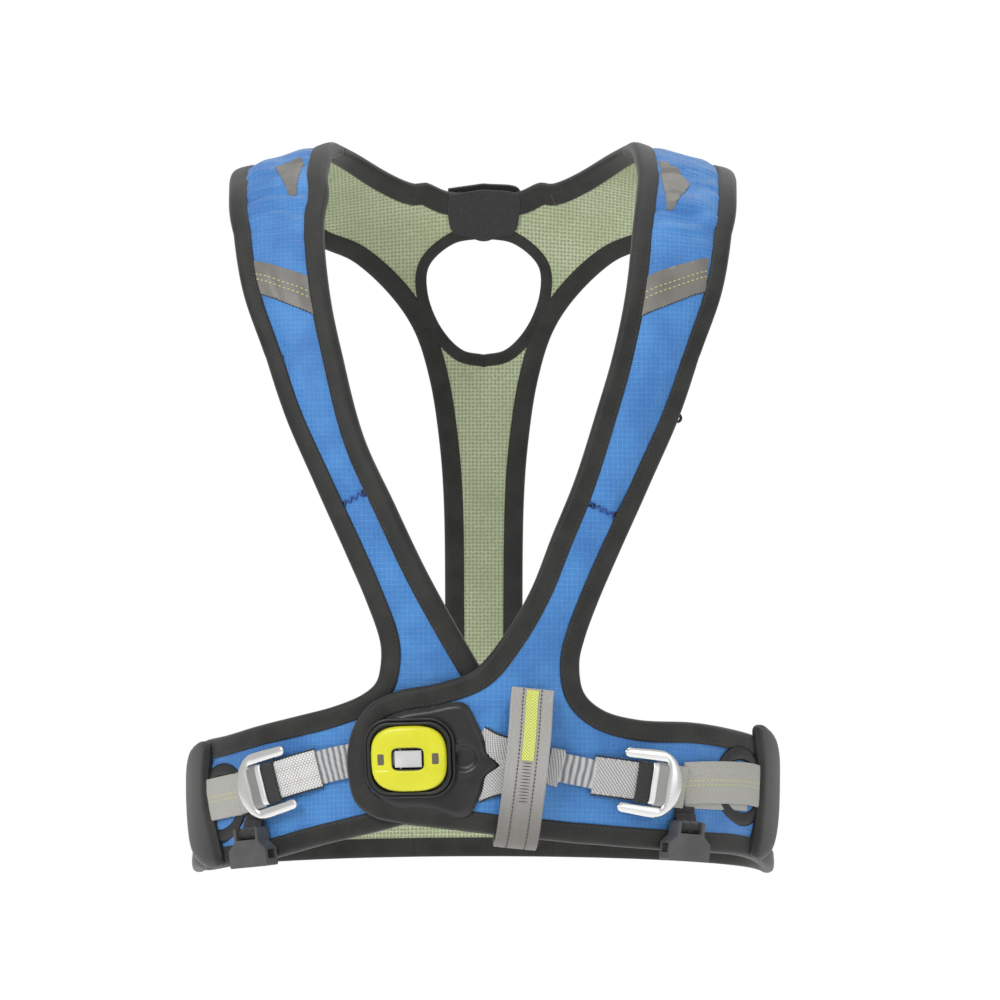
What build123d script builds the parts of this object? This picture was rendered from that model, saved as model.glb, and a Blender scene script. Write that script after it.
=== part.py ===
from build123d import *
import os
import numpy as np

# Slim chest-harness style life jacket, worn on the upper body. Millimetres, +Z up, wearer faces -Y,
# origin on the torso's axis at the height of the chest belt.
#
# Every soft piece lies on one torso form. A place on it is (p, q, n): p runs round the body from the
# centre front (+p towards the wearer's left, +X), q runs up the front from belt height, over the
# shoulder and down the back, and n stands off the form.

# ---- driving dimensions -------------------------------------------------------------------------
TORSO_SIDE = [(-116, -70), (-118, 0), (-121, 70), (-126, 140), (-124, 200), (-112, 255), (-90, 300),
              (-62, 335), (-28, 362), (8, 375), (42, 370), (72, 350), (95, 318), (110, 275),
              (117, 220), (119, 160), (119, 90), (118, 20), (117, -40)]     # (y, z), front to back
HALF_BREADTH = [(-70, 174), (60, 174), (140, 186), (250, 215), (340, 300), (433, 600), (545, 300),
                (640, 220), (760, 186), (905, 174)]                         # (q, half breadth)
SHOULDER_Q, SHOULDER_FALL = 433, 0.29
SIDE_DROP = 24

LINING, FOAM, WEB_IN, COVER = (0.0, 0.5), (0.65, 3.4), (3.5, 4.55), (4.75, 5.3)   # heights of layers
LAYERS = (("cover", COVER), ("foam", FOAM), ("lining", LINING))
FLAP_THICK = 2.9             # all layers together in the flap, which has thin foam
FLAP_LIFT = 11.0             # the left front stands this far out where it covers the right front
BINDING_WIDTH, BINDING_THICK, BINDING_GAP = 11.0, 0.8, 0.15
TRIM = (5.45, 5.75)          # tapes sewn flat on the cover
CUT_P = 47.0                 # the fronts begin here beside the back panel
BACK_HALF = 43.5
BELT_BACK_P = 501.0          # the belt's cut, beside the centre back
BELT_MID_P = 546.6
BELT_TOP, BELT_HEM = 32.0, -43.0
STEM_END = 853.0             # the stem stops just above the belt

WEBBING_WIDTH = 21.0
BELT_WEB_WIDTH = 24.0
LEFT_PIVOT, RIGHT_PIVOT = (102.0, -1.0), (-138.0, 0.0)      # adjusters' bars
LEFT_ROLL, RIGHT_ROLL = -4.0, 10.0
PIVOT_HEIGHT = 12.5
LEFT_CROTCH, RIGHT_CROTCH = (127.0, -26.0), (-149.0, -28.5)
CROTCH_HEIGHT = 12.0
SOCKET_HEIGHT = 6.4
BUCKLE_PLACE = (-40.0, 12.5)

# ---- the torso form -----------------------------------------------------------------------------
SIDE = np.array(TORSO_SIDE, float)
STEPS = np.hypot(*np.diff(SIDE, axis=0).T)
ARC = np.concatenate([[0], np.cumsum(STEPS)]) - STEPS[0]
TANGENTS = np.gradient(SIDE, ARC, axis=0)


def side_line(q):
    """(y, z) at arc length q along the torso's side outline."""
    i = int(np.clip(np.searchsorted(ARC, q) - 1, 0, len(ARC) - 2))
    h = ARC[i + 1] - ARC[i]
    t = (q - ARC[i]) / h
    hermite = (2*t**3 - 3*t**2 + 1, t**3 - 2*t**2 + t, 3*t**2 - 2*t**3, t**3 - t**2)
    return hermite[0]*SIDE[i] + hermite[1]*h*TANGENTS[i] + hermite[2]*SIDE[i + 1] + hermite[3]*h*TANGENTS[i + 1]


def ease(t):
    t = min(max(t, 0.0), 1.0)
    return t*t*(3 - 2*t)


def form(p, q):
    """The point of the bare form at (p, q)."""
    y, z = side_line(q)
    breadth = float(np.interp(q, *zip(*HALF_BREADTH)))
    turn = p / breadth
    x = breadth * np.sin(turn)
    fall = SHOULDER_FALL * np.exp(-((q - SHOULDER_Q) / 95)**2) * (abs(x) - 110)
    drop = SIDE_DROP * (1 - max(np.cos(turn), 0)) * (1 - ease((q - 100) / 100))
    return np.array([x, y*np.cos(turn), z - fall - drop])


def outward(p, q):
    across = form(p + 0.5, q) - form(p - 0.5, q)
    up = form(p, q + 0.5) - form(p, q - 0.5)
    n = np.cross(across, up)
    return n / np.linalg.norm(n)


def at(p, q, n=0.0):
    return form(p, q) + n*outward(p, q)


def local(p, q, n=0.0, roll=0.0):
    """A place on the form: x round the body, y up the body, z outward, turned by roll degrees."""
    across = form(p + 0.5, q) - form(p - 0.5, q)
    plane = Plane(tuple(at(p, q, n)), x_dir=tuple(across), z_dir=tuple(outward(p, q)))
    return plane.location * Rot(0, 0, roll)


# ---- builders -----------------------------------------------------------------------------------
def between(points, steps=2):
    """Hand-chosen points with smooth in-between points added."""
    pts = np.array(points, float)
    ends = np.vstack([2*pts[0] - pts[1], pts, 2*pts[-1] - pts[-2]])
    out = []
    for i in range(1, len(ends) - 2):
        a, b, c, d = ends[i - 1:i + 3]
        for k in range(steps):
            t = k / steps
            out.append(0.5*(2*b + (c - a)*t + (2*a - 5*b + 4*c - d)*t**2 + (3*b - a - 3*c + d)*t**3))
    return np.array(out + [ends[-2]])


def flat(p, q):
    return 0.0


def lift(p, q):
    """How far the left front stands out, where it covers the right front."""
    return FLAP_LIFT * (1 - ease((p - 5) / 45)) * (1 - ease((q - 110) / 60))


def rung_wire(a, b, low, high):
    """Closed outline across a panel from edge point a to edge point b, between two heights."""
    mid = (np.array(a) + np.array(b)) / 2
    pa, pb, pm = form(*a), form(*b), form(*mid)
    n = outward(*mid)
    t = np.cross(pb - pa, n)
    t /= np.linalg.norm(t)
    n = np.cross(t, pb - pa)
    n /= np.linalg.norm(n)
    if np.dot(n, outward(*mid)) < 0:
        n = -n
    pm = pm - np.dot(pm - pa, t)*t

    def line(height):
        ends = [pa + height(*a)*n, pb + height(*b)*n]
        peak = 2*(pm + height(*mid)*n) - (ends[0] + ends[1]) / 2
        return ends[0], peak, ends[1]

    la, lc, lb = line(low)
    ha, hc, hb = line(high)
    return Wire([Edge.make_bezier(tuple(la), tuple(lc), tuple(lb)), Edge.make_line(tuple(lb), tuple(hb)),
                 Edge.make_bezier(tuple(hb), tuple(hc), tuple(ha)), Edge.make_line(tuple(ha), tuple(la))])


def panel(rungs, heights, rise=flat, thin=None, steps=2):
    """One fabric or foam layer over rungs (p, q at one edge, p, q at the other)."""
    low, high = heights

    def part_height(h):
        def height(p, q):
            scale = 1.0 if thin is None else thin(p)
            return rise(p, q) + h*scale
        return height

    wires = [rung_wire(r[:2], r[2:], part_height(low), part_height(high)) for r in between(rungs, steps)]
    return Solid.make_loft(wires, ruled=True)


def flap_thinning(p):
    """Layers shrink together towards the flap."""
    return FLAP_THICK/COVER[1] + (1 - FLAP_THICK/COVER[1]) * ease((p + 5) / 45)


def binding(points, side, top=COVER[1], rise=flat, thin=None, steps=2, width=BINDING_WIDTH):
    """A folded binding along an edge: both faces and the edge itself. side +1 keeps left of travel."""
    pts = between(points, steps)
    ways = np.gradient(pts, axis=0)
    wires = []
    for (p, q), way in zip(pts, ways):
        way = way / np.hypot(*way)
        into = side*np.array([-way[1], way[0]])
        n = outward(p, q)
        here = form(p, q)
        travel = form(*(np.array([p, q]) + way)) - here
        travel -= np.dot(travel, n)*n
        travel /= np.linalg.norm(travel)
        up = rise(p, q)
        face = up + top*(1.0 if thin is None else thin(p))
        inner = (face + BINDING_GAP, up - BINDING_GAP)
        outer = (inner[0] + BINDING_THICK, inner[1] - BINDING_THICK)

        def corner(w, h):
            point = form(*(np.array([p, q]) + into*w)) if w > 0 else here + (form(
                *(np.array([p, q]) + into)) - here)*w
            point = point + h*n
            return tuple(point - np.dot(point - here, travel)*travel)

        gap, thick = BINDING_GAP, BINDING_GAP + BINDING_THICK
        outline = [corner(width, inner[0]), corner(width, outer[0]), corner(-thick, outer[0]),
                   corner(-thick, outer[1]), corner(width, outer[1]), corner(width, inner[1]),
                   corner(-gap, inner[1]), corner(-gap, inner[0])]
        wires.append(Wire.make_polygon(outline, close=True))
    return Solid.make_loft(wires, ruled=True)


def strap(route, width, thick, rise=flat, steps=2):
    """A flat webbing along route points (p, q, height of its lower face)."""
    pts = between(route, steps)
    ways = np.gradient(pts[:, :2], axis=0)
    wires = []
    for (p, q, h), way in zip(pts, ways):
        way = way / np.hypot(*way)
        off = np.array([-way[1], way[0]])*width/2
        a = np.array([p, q]) + off
        b = np.array([p, q]) - off
        up = rise(p, q) + h
        wires.append(rung_wire(tuple(a), tuple(b), lambda *_: up, lambda *_: up + thick))
    return Solid.make_loft(wires, ruled=True)


def mirrored(rungs):
    return [tuple(-v if i % 2 == 0 else v for i, v in enumerate(r)) for r in rungs]


def ribbon_loop(profile, thick, width, plane):
    """A webbing that bends in side view: profile (y, z) in the plane's y-z section, given its width."""
    centre = [Vector(0, y, z) for y, z in profile]
    left, right = [], []
    for i, c in enumerate(centre):
        before, after = centre[max(i - 1, 0)], centre[min(i + 1, len(centre) - 1)]
        way = (after - before).normalized()
        side = Vector(0, -way.Z, way.Y)*(thick/2)
        left.append(c + side)
        right.append(c - side)
    section = Face(Wire.make_polygon(left + right[::-1], close=True))
    solid = extrude(section, width/2, dir=(1, 0, 0), both=True)
    return plane * solid


def squircle(width, height, radius, low, high):
    return Pos(0, 0, low) * extrude(RectangleRounded(width, height, radius), high - low)


# ---- outlines of the soft parts -----------------------------------------------------------------
# Rungs over the back of the shoulder, from beside the back panel to the top of the chest strap:
# the arm-side edge first, then the neck-side edge. Wearer's left; the right is the mirror image.
SHOULDER = [(CUT_P, 589, CUT_P, 501), (62, 566, 60, 492), (84, 547, 76, 474), (110, 532, 88, 452),
            (132, 503, 93, 425), (148, 462, 95, 402), (156, 422, 96, 383), (157, 387, 95, 366)]
LEFT_STRAP = SHOULDER + [(157, 350, 93, 341), (151, 293, 88, 290), (139, 256, 80, 250), (122, 212, 69, 214),
                         (102, 173, 56, 175), (83, 136, 42, 142), (69, 106, 29, 111), (60, 82, 13, 84),
                         (57, 65, -1, 63)]
RIGHT_FRONT = mirrored(SHOULDER) + [(-157, 350, -98, 341), (-148, 286, -94, 290), (-136, 238, -86, 250),
                                    (-118, 192, -72, 200), (-98, 158, -53, 161), (-78, 122, -35, 124),
                                    (-66, 98, -20, 96), (-60, 80, -3, 66), (-60, 66, 10, 44),
                                    (-63, 56, 10, 10), (-72, 49, -12, -16), (-90, 43, -48, -28),
                                    (-114, 39, -100, -38), (-150, 35, -145, -45), (-185, 32, -180, -46),
                                    (-213, 32, -213, -46)]
LEFT_CHEST = [(-77, 18, -77, -2), (-74, 31, -73, -13), (-64, 44, -62, -22), (-48, 51, -46, -26),
              (-25, 55, -25, -29), (-2, 62, -2, -32), (27, 62.5, 22, -35), (56, 62, 50, -38),
              (60, 48, 58, -38.5), (72, 40, 70, -39), (96, 35, 96, -40), (140, 36, 140, -40),
              (180, 35, 180, -39), (213, 34, 213, -40)]
ARM_START = (57, 573)         # the arm-side binding begins clear of the back panel
SIDE_PANEL = [(216, 34, 216, -42), (260, BELT_TOP, 260, BELT_HEM), (340, BELT_TOP, 340, BELT_HEM),
              (420, BELT_TOP, 420, BELT_HEM), (BELT_BACK_P, BELT_TOP, BELT_BACK_P, BELT_HEM)]


def edge_of(rungs, outer=True):
    return [r[:2] if outer else r[2:] for r in rungs]


def middle(rungs, share=0.44):
    """Rungs of the inner webbing: the middle share of each panel rung."""
    out = []
    for r in np.array(rungs, float):
        across = r[2:] - r[:2]
        out.append((*(r[:2] + across*(1 - share)/2), *(r[2:] - across*(1 - share)/2)))
    return out


def write(name, *solids):
    """Writes one node's solids."""
    flat_list = []
    for s in solids:
        flat_list += s.solids() if hasattr(s, "solids") else [s]
    shape = flat_list[0] if len(flat_list) == 1 else Compound(children=[Solid(s.wrapped) for s in flat_list])
    shape.label = name
    export_step(shape, f"parts/{name}.step")


def left_face(p, q):
    """Height of the left front's cover where it may be lifted and thin."""
    return lift(p, q) + COVER[1]*flap_thinning(p)


def soft_front(side_name, panels, sides, rise, thin):
    """Cover, foam and lining of one front: each layer is a chain of panels and the side panel."""
    for layer, heights in LAYERS:
        solids = [panel(rungs, heights, rise, thin) for rungs in panels] + [panel(sides, heights)]
        if side_name == "left":
            solids = [s.cut(flap_window()) for s in solids]
        write(f"{side_name}_{layer}", *solids)


def flap_window():
    """The hole through the flap's layers that the latch's nose reaches through."""
    return local(*BUCKLE_PLACE) * Pos(LATCH_HOLE[0], 0, 20) * Box(LATCH_HOLE[1], LATCH_HOLE[2], 40)


# ---- buckle -------------------------------------------------------------------------------------
LATCH_HOLE = (6.5, 15.0, 11.0)          # centre along x, length, width
PLATE_LOW, PLATE_HIGH = 14.1, 16.2
HOUSING_FLOOR, HOUSING_TOP = (16.7, 18.0), 22.0
HOUSING_SIZE, HOUSING_RADIUS = (50.0, 43.0), 13.5
BUTTON_SIZE, BUTTON_RADIUS = (45.0, 38.4), 12.0
BUTTON_LOW, BUTTON_DECK, BUTTON_TOP = 20.7, 23.4, 25.8
BUTTON_TRAVEL = 2.5
BUTTON_WINDOW = (19.4, 13.4)
SMALL_WINDOW, SMALL_WINDOW_X = (4.6, 7.2), 16.3
LATCH_PIN_X, LATCH_PIN_Z, LATCH_PIN_R = -5.5, 20.0, 1.0
EAR_LOW, EAR_TOP, EAR_Y = 17.2, 21.8, 7.0
POCKET_TOP = EAR_TOP + BUTTON_TRAVEL + 0.2
TONGUE_LOW, TONGUE_THICK, TONGUE_WIDTH = 7.2, 1.4, 22.0


def buckle():
    place = local(*BUCKLE_PLACE)
    plate_rungs = [(-65, 22, -65, 4), (-60, 32, -60, -6), (-48, 39, -48, -13), (-30, 42, -30, -17),
                   (-12, 43, -12, -20), (-2, 31, -2, -8), (5, 16, 5, 4), (10, 10, 10, 7)]
    plate = panel(plate_rungs, (0.2, 2.3), rise=lambda p, q: left_face(p, q) + 1.7*ease((p + 25)/20))
    dimple = place * Pos(29.5, 0, PLATE_HIGH + 10.6) * Sphere(11.5)
    write("flap_plate", plate.cut(flap_window()).cut(*dimple.solids()))

    floor = squircle(*HOUSING_SIZE, HOUSING_RADIUS, HOUSING_FLOOR[0], HOUSING_TOP)
    inside = squircle(BUTTON_SIZE[0] + 0.8, BUTTON_SIZE[1] + 0.8, BUTTON_RADIUS + 0.4, HOUSING_FLOOR[1],
                      HOUSING_TOP + 1)
    hole = Pos(LATCH_HOLE[0], 0, HOUSING_FLOOR[0]) * Box(LATCH_HOLE[1], LATCH_HOLE[2], 10)
    ears = [Pos(LATCH_PIN_X, s*EAR_Y, (EAR_LOW + EAR_TOP)/2) * Box(4, 2.0, EAR_TOP - EAR_LOW) for s in (-1, 1)]
    housing = floor - inside - hole + ears
    housing -= Pos(LATCH_PIN_X, 0, LATCH_PIN_Z) * Rot(90, 0, 0) * Cylinder(LATCH_PIN_R, 20)
    rim = housing.edges().group_by(Axis.Z)[-1]
    housing = fillet(rim, 0.9)
    write("buckle_housing", place * housing)

    pin = Rot(90, 0, 0) * Cylinder(LATCH_PIN_R - 0.03, 15.6)
    write("latch_pin", place * Pos(LATCH_PIN_X, 0, LATCH_PIN_Z) * pin)

    block = Pos(0, 0, 22.0) * Box(16, 9.8, 4.6)
    nose = Pos(3.8, 0, 15.5) * Box(4.6, 6.4, 13.2)
    tail = Pos(-10.85, 0, 21.05) * Box(7.3, 8, 1.1) + Pos(-16.6, 0, 21.85) * Box(5.2, 8, 1.5)
    boss = Pos(LATCH_PIN_X, 0, LATCH_PIN_Z) * Rot(90, 0, 0) * Cylinder(2.0, 9.8)
    lever = block + nose + tail + boss
    lever -= Pos(LATCH_PIN_X, 0, LATCH_PIN_Z) * Rot(90, 0, 0) * Cylinder(LATCH_PIN_R + 0.04, 20)
    write("latch_lever", place * lever)

    button = squircle(*BUTTON_SIZE, BUTTON_RADIUS, BUTTON_LOW, BUTTON_TOP)
    button = fillet(button.edges().group_by(Axis.Z)[-1], 1.9)
    button -= squircle(BUTTON_SIZE[0] - 4, BUTTON_SIZE[1] - 4, BUTTON_RADIUS - 2, BUTTON_LOW - 1, BUTTON_DECK)
    button -= Pos(0, 0, BUTTON_TOP) * Box(*BUTTON_WINDOW, 10)
    for s in (-1, 1):
        button -= Pos(s*SMALL_WINDOW_X, 0, BUTTON_TOP) * Box(*SMALL_WINDOW, 3.2)
        button -= Pos(LATCH_PIN_X, s*(EAR_Y + 0.2), BUTTON_DECK) * Box(5.2, 3.6, 2*(POCKET_TOP - BUTTON_DECK))
    write("release_button", place * button)

    springs = []
    for x, y in ((10, 12), (10, -12), (-10, 12), (-10, -12)):
        coil = Wire([Edge.make_helix(pitch=1.25, height=4.7, radius=2.2)])
        start = coil.position_at(0)
        wire = sweep(Plane(start, z_dir=coil.tangent_at(0)) * Circle(0.28), path=coil)
        springs.append(place * Pos(x, y, HOUSING_FLOOR[1] + 0.33) * wire)
    write("button_springs", *springs)


def tongue():
    """The steel plate on the right front's webbing, which lies behind the flap."""
    plate = strap([(-72, 11.5, TONGUE_LOW), (-58, 12.5, TONGUE_LOW), (-42, 12.5, TONGUE_LOW),
                   (-24, 12.5, TONGUE_LOW)], TONGUE_WIDTH, TONGUE_THICK)
    window = local(*BUCKLE_PLACE) * Pos(4.6, 0, 8) * Box(9.5, 9.0, 6)
    slot = local(-67, 12.0) * Pos(0, 0, 8) * Box(3.0, 17.0, 6)
    write("tongue", plate.cut(*window.solids()).cut(*slot.solids()))


# ---- webbing and hardware on one front ----------------------------------------------------------
def adjuster(name, pivot, s, roll):
    """A bent steel plate with two arms and a D end, turning about the bar the webbing loops."""
    place = local(*pivot, PIVOT_HEIGHT, roll)
    outline = Pos(s*0.5, 0, 0) * RectangleRounded(44, 40, 3)
    disc = Pos(s*3.5, 0, 0) * Circle(21.5)
    shape = Sketch() + (outline & (disc + Pos(-s*14, 0, 0) * Rectangle(30, 40)))
    shape -= Pos(-s*12.0, 0, 0) * Rectangle(36, 27)
    shape -= Pos(s*13.5, 0, 0) * Rectangle(9.0, 25)
    frame = extrude(shape, 1.2, both=True)
    holes = Rot(90, 0, 0) * Cylinder(1.55, 60)
    ears = [Pos(0, t*16.0, 0) * Box(5.4, 5.0, 4.4) for t in (-1, 1)]
    frame = frame + ears - holes
    write(f"{name}_adjuster_frame", place * frame)
    bar = Rot(90, 0, 0) * Cylinder(1.5, 36.4)
    slider = Pos(s*7.0, 0, 2.3) * Box(7.4, 29.0, 1.8)
    slider = fillet(slider.edges().filter_by(Axis.Y), 0.6)
    write(f"{name}_adjuster_bar", place * bar, place * slider)


def front_hardware(name, s, pivot, roll, loop_route, belt_route, crotch):
    place = local(*pivot, PIVOT_HEIGHT, roll)
    loop = strap(loop_route, WEBBING_WIDTH, 2.6)
    write(f"{name}_webbing_loop", loop)
    sleeve = Rot(90, 0, 0) * Cylinder(3.0, WEBBING_WIDTH) - Rot(90, 0, 0) * Cylinder(1.75, 60)
    sleeve += Pos(-s*3.6, 0, -1.2) * Box(5.4, WEBBING_WIDTH, 2.4) - Rot(90, 0, 0) * Cylinder(1.75, 60)
    write(f"{name}_keeper", place * sleeve)
    write(f"{name}_belt_webbing", strap(belt_route, BELT_WEB_WIDTH, 1.5, steps=4))
    tuck = Pos(s*17.6, 0, -3.0) * Rot(0, s*17, 0) * Box(12.0, 23.5, 1.5)
    write(f"{name}_adjuster_webbing", place * tuck)
    adjuster(name, pivot, s, roll)
    crotch_buckle(name, crotch)


def crotch_buckle(name, place):
    """The socket half of a side-release buckle, on a short tab, for a crotch strap."""
    frame = local(*place, CROTCH_HEIGHT)
    outline = Polyline((-9.5, 3.6), (9.5, 3.6), (9.5, -5), (14.5, -9.5), (14.5, -20), (-14.5, -20),
                       (-14.5, -9.5), (-9.5, -5), close=True)
    body = extrude(make_face(outline), 5.2, both=True)
    body = fillet(body.edges().filter_by(Axis.Z), 1.0)
    body -= Pos(0, -14, 0) * Box(22, 14, SOCKET_HEIGHT)
    for s in (-1, 1):
        body -= Pos(s*14.5, -13, 0) * Box(8, 5.5, SOCKET_HEIGHT)
    body -= Pos(0, 2.2, 0) * Box(15, 11.6, 20)
    body += Pos(0, 0, 0) * Rot(0, 90, 0) * Cylinder(1.5, 16)
    write(f"{name}_crotch_buckle", frame * body)
    ring = Rot(0, 90, 0) * Cylinder(2.9, 13.6) - Rot(0, 90, 0) * Cylinder(1.8, 30)
    strip = Pos(0, 5, -2.3) * Box(13.6, 10, 1.2) - Rot(0, 90, 0) * Cylinder(1.8, 30)
    write(f"{name}_crotch_tab", frame * (ring + strip))


def guide_ring(name, s, place):
    """A flat oval moulded ring that the belt webbing passes over."""
    oval = Ellipse(30, 24.5) - Ellipse(21.5, 15.5)
    frame = local(*place)
    ring = extrude(oval, 30)
    top = panel([(s*p, 44, s*p, -50) for p in (155, 165, 175, 185, 195, 203, 212)], (5.45, 6.6))
    write(f"{name}_guide_ring", *(frame * Pos(0, 0, -10) * ring).intersect(top).solids())


def soft_loop():
    """The tether loop, sewn at the top, standing off the chest and wrapping under the hem."""
    place = local(24, 9, 0, roll=-5)
    profile = [(44, 13.3), (36, 14.2), (27, 18.6), (17, 22.8), (6, 24.8), (-8, 24.8), (-24, 22.4),
               (-38, 19.0), (-47, 14.5), (-50.5, 8.0), (-48, 2.6), (-40, 0.9), (-28, 0.9)]
    write("soft_loop", ribbon_loop(profile, 2.0, 23.5, place))
    insert = [(43.5, 14.95), (36, 15.9), (27, 20.35), (17, 24.5), (6, 26.4), (2, 26.45)]
    write("soft_loop_insert", ribbon_loop(insert, 0.5, 8.5, place))


# ---- assembly -----------------------------------------------------------------------------------
def left_front():
    soft_front("left", [LEFT_STRAP, LEFT_CHEST], SIDE_PANEL, lift, flap_thinning)
    belt_top = [(216, 34), (260, BELT_TOP), (340, BELT_TOP), (420, BELT_TOP), (BELT_BACK_P, BELT_TOP)]
    belt_hem = [(216, -41), (260, BELT_HEM), (340, BELT_HEM), (420, BELT_HEM), (BELT_BACK_P, BELT_HEM)]
    arm = [ARM_START] + edge_of(LEFT_STRAP)[1:] + edge_of(LEFT_CHEST)[8:] + belt_top
    neck = edge_of(LEFT_STRAP, False) + edge_of(LEFT_CHEST)[4::-1] + edge_of(LEFT_CHEST, False) + belt_hem
    write("left_arm_binding", binding(arm, -1, rise=lift, thin=flap_thinning))
    write("left_edge_binding", binding(neck, 1, rise=lift, thin=flap_thinning))
    write("left_inner_webbing", panel(middle(LEFT_STRAP[1:-1]), WEB_IN, lift, flap_thinning))
    write("left_reflective_band", panel([(140, 315, 136, 291), (120, 307, 117, 282), (101, 299, 98, 274)], TRIM))
    write("left_shoulder_patch", panel([(108, 402, 110, 402), (111, 382, 126, 382), (113, 352, 116, 352)], TRIM))
    write("left_chest_webbing",
          panel([(-8, 27, -8, -13), (4, 24, 4, -9), (14, 19.5, 14, -4), (24, 18, 24, -2.5), (42, 16, 42, -2),
                 (45, 14, 45, -3), (54, 13, 54, -4), (63, 11, 63, -6)], (0.15, 1.55), rise=left_face))
    front_hardware("left", 1, LEFT_PIVOT, LEFT_ROLL, [(65, 2, 6.4), (80, 1, 7.0), (96, -0.5, 9.0)],
                   [(128, 0, 6.4), (150, 2, 7.2), (205, 4, 7.2), (222, 3, 6.4), (260, -3, 5.45),
                    (340, -5, 5.45), (420, -5, 5.45), (BELT_BACK_P, -5, 5.45)], LEFT_CROTCH)
    write("left_end_band", panel([(203, 45, 223, 44), (205, 20, 226, 20), (206, 0, 227, 0),
                                  (204, -28, 224, -28), (199, -50, 216, -50)], (8.8, 10.3)))
    guide_ring("left", 1, (185, 2))
    write("whistle_loop", place_loop((117, 212), 2.2))
    write("button_guard", *guard())


def guard():
    """A moulded rim that stands round the button."""
    place = local(*BUCKLE_PLACE)
    outer = squircle(HOUSING_SIZE[0] + 4.4, HOUSING_SIZE[1] + 4.4, HOUSING_RADIUS + 2.2, PLATE_HIGH + 0.6, 20.0)
    inner = squircle(HOUSING_SIZE[0] + 0.4, HOUSING_SIZE[1] + 0.4, HOUSING_RADIUS + 0.2, 10, 30)
    ring = outer - inner
    ring = fillet(ring.edges().group_by(Axis.Z)[-1], 0.8)
    return (place * ring).solids()


def place_loop(place, radius):
    """A small cord eye sewn at the strap's outer edge."""
    return local(*place, 3.0) * Pos(radius + 2.4, 0, 0) * Torus(radius, 0.9)


def right_front():
    soft_front("right", [RIGHT_FRONT], mirrored(SIDE_PANEL), flat, None)
    belt_top = [(-216, 34), (-260, BELT_TOP), (-340, BELT_TOP), (-420, BELT_TOP), (-BELT_BACK_P, BELT_TOP)]
    belt_hem = [(-216, -45), (-260, BELT_HEM), (-340, BELT_HEM), (-420, BELT_HEM), (-BELT_BACK_P, BELT_HEM)]
    arm = [(-ARM_START[0], ARM_START[1])] + edge_of(RIGHT_FRONT)[1:] + belt_top
    write("right_arm_binding", binding(arm, 1))
    write("right_neck_binding", binding(edge_of(RIGHT_FRONT, False) + belt_hem, -1))
    write("right_inner_webbing", panel(middle(RIGHT_FRONT[1:14]), WEB_IN))
    write("right_reflective_band",
          panel([(-143, 313, -138, 291), (-126, 307, -121, 283), (-110, 301, -106, 277)], TRIM))
    write("right_shoulder_patch",
          panel([(-126, 404, -111, 405), (-121, 385, -112, 385), (-117, 366, -114, 366)], TRIM))
    tongue()
    write("right_elastic", strap([(-72.6, 11.6, 7.2), (-85, 10.5, 7.0), (-98, 8, 6.6)], 19, 1.4))
    front_hardware("right", -1, RIGHT_PIVOT, RIGHT_ROLL, [(-99, 7.8, 6.4), (-114, 5, 7.0), (-126, 2.5, 8.4)],
                   [(-164, -4, 6.5), (-178, -4.5, 7.3), (-205, -5, 7.3), (-222, -5, 6.4), (-260, -5, 5.45),
                    (-340, -5, 5.45), (-420, -5, 5.45), (-BELT_BACK_P, -5, 5.45)], RIGHT_CROTCH)
    write("right_end_band", panel([(-203, 45, -223, 44), (-205, 20, -226, 20), (-205, 0, -227, 0),
                                   (-199, -28, -220, -28), (-190, -53, -208, -53)], (8.8, 10.3)))
    guide_ring("right", -1, (-188, -8))


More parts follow.
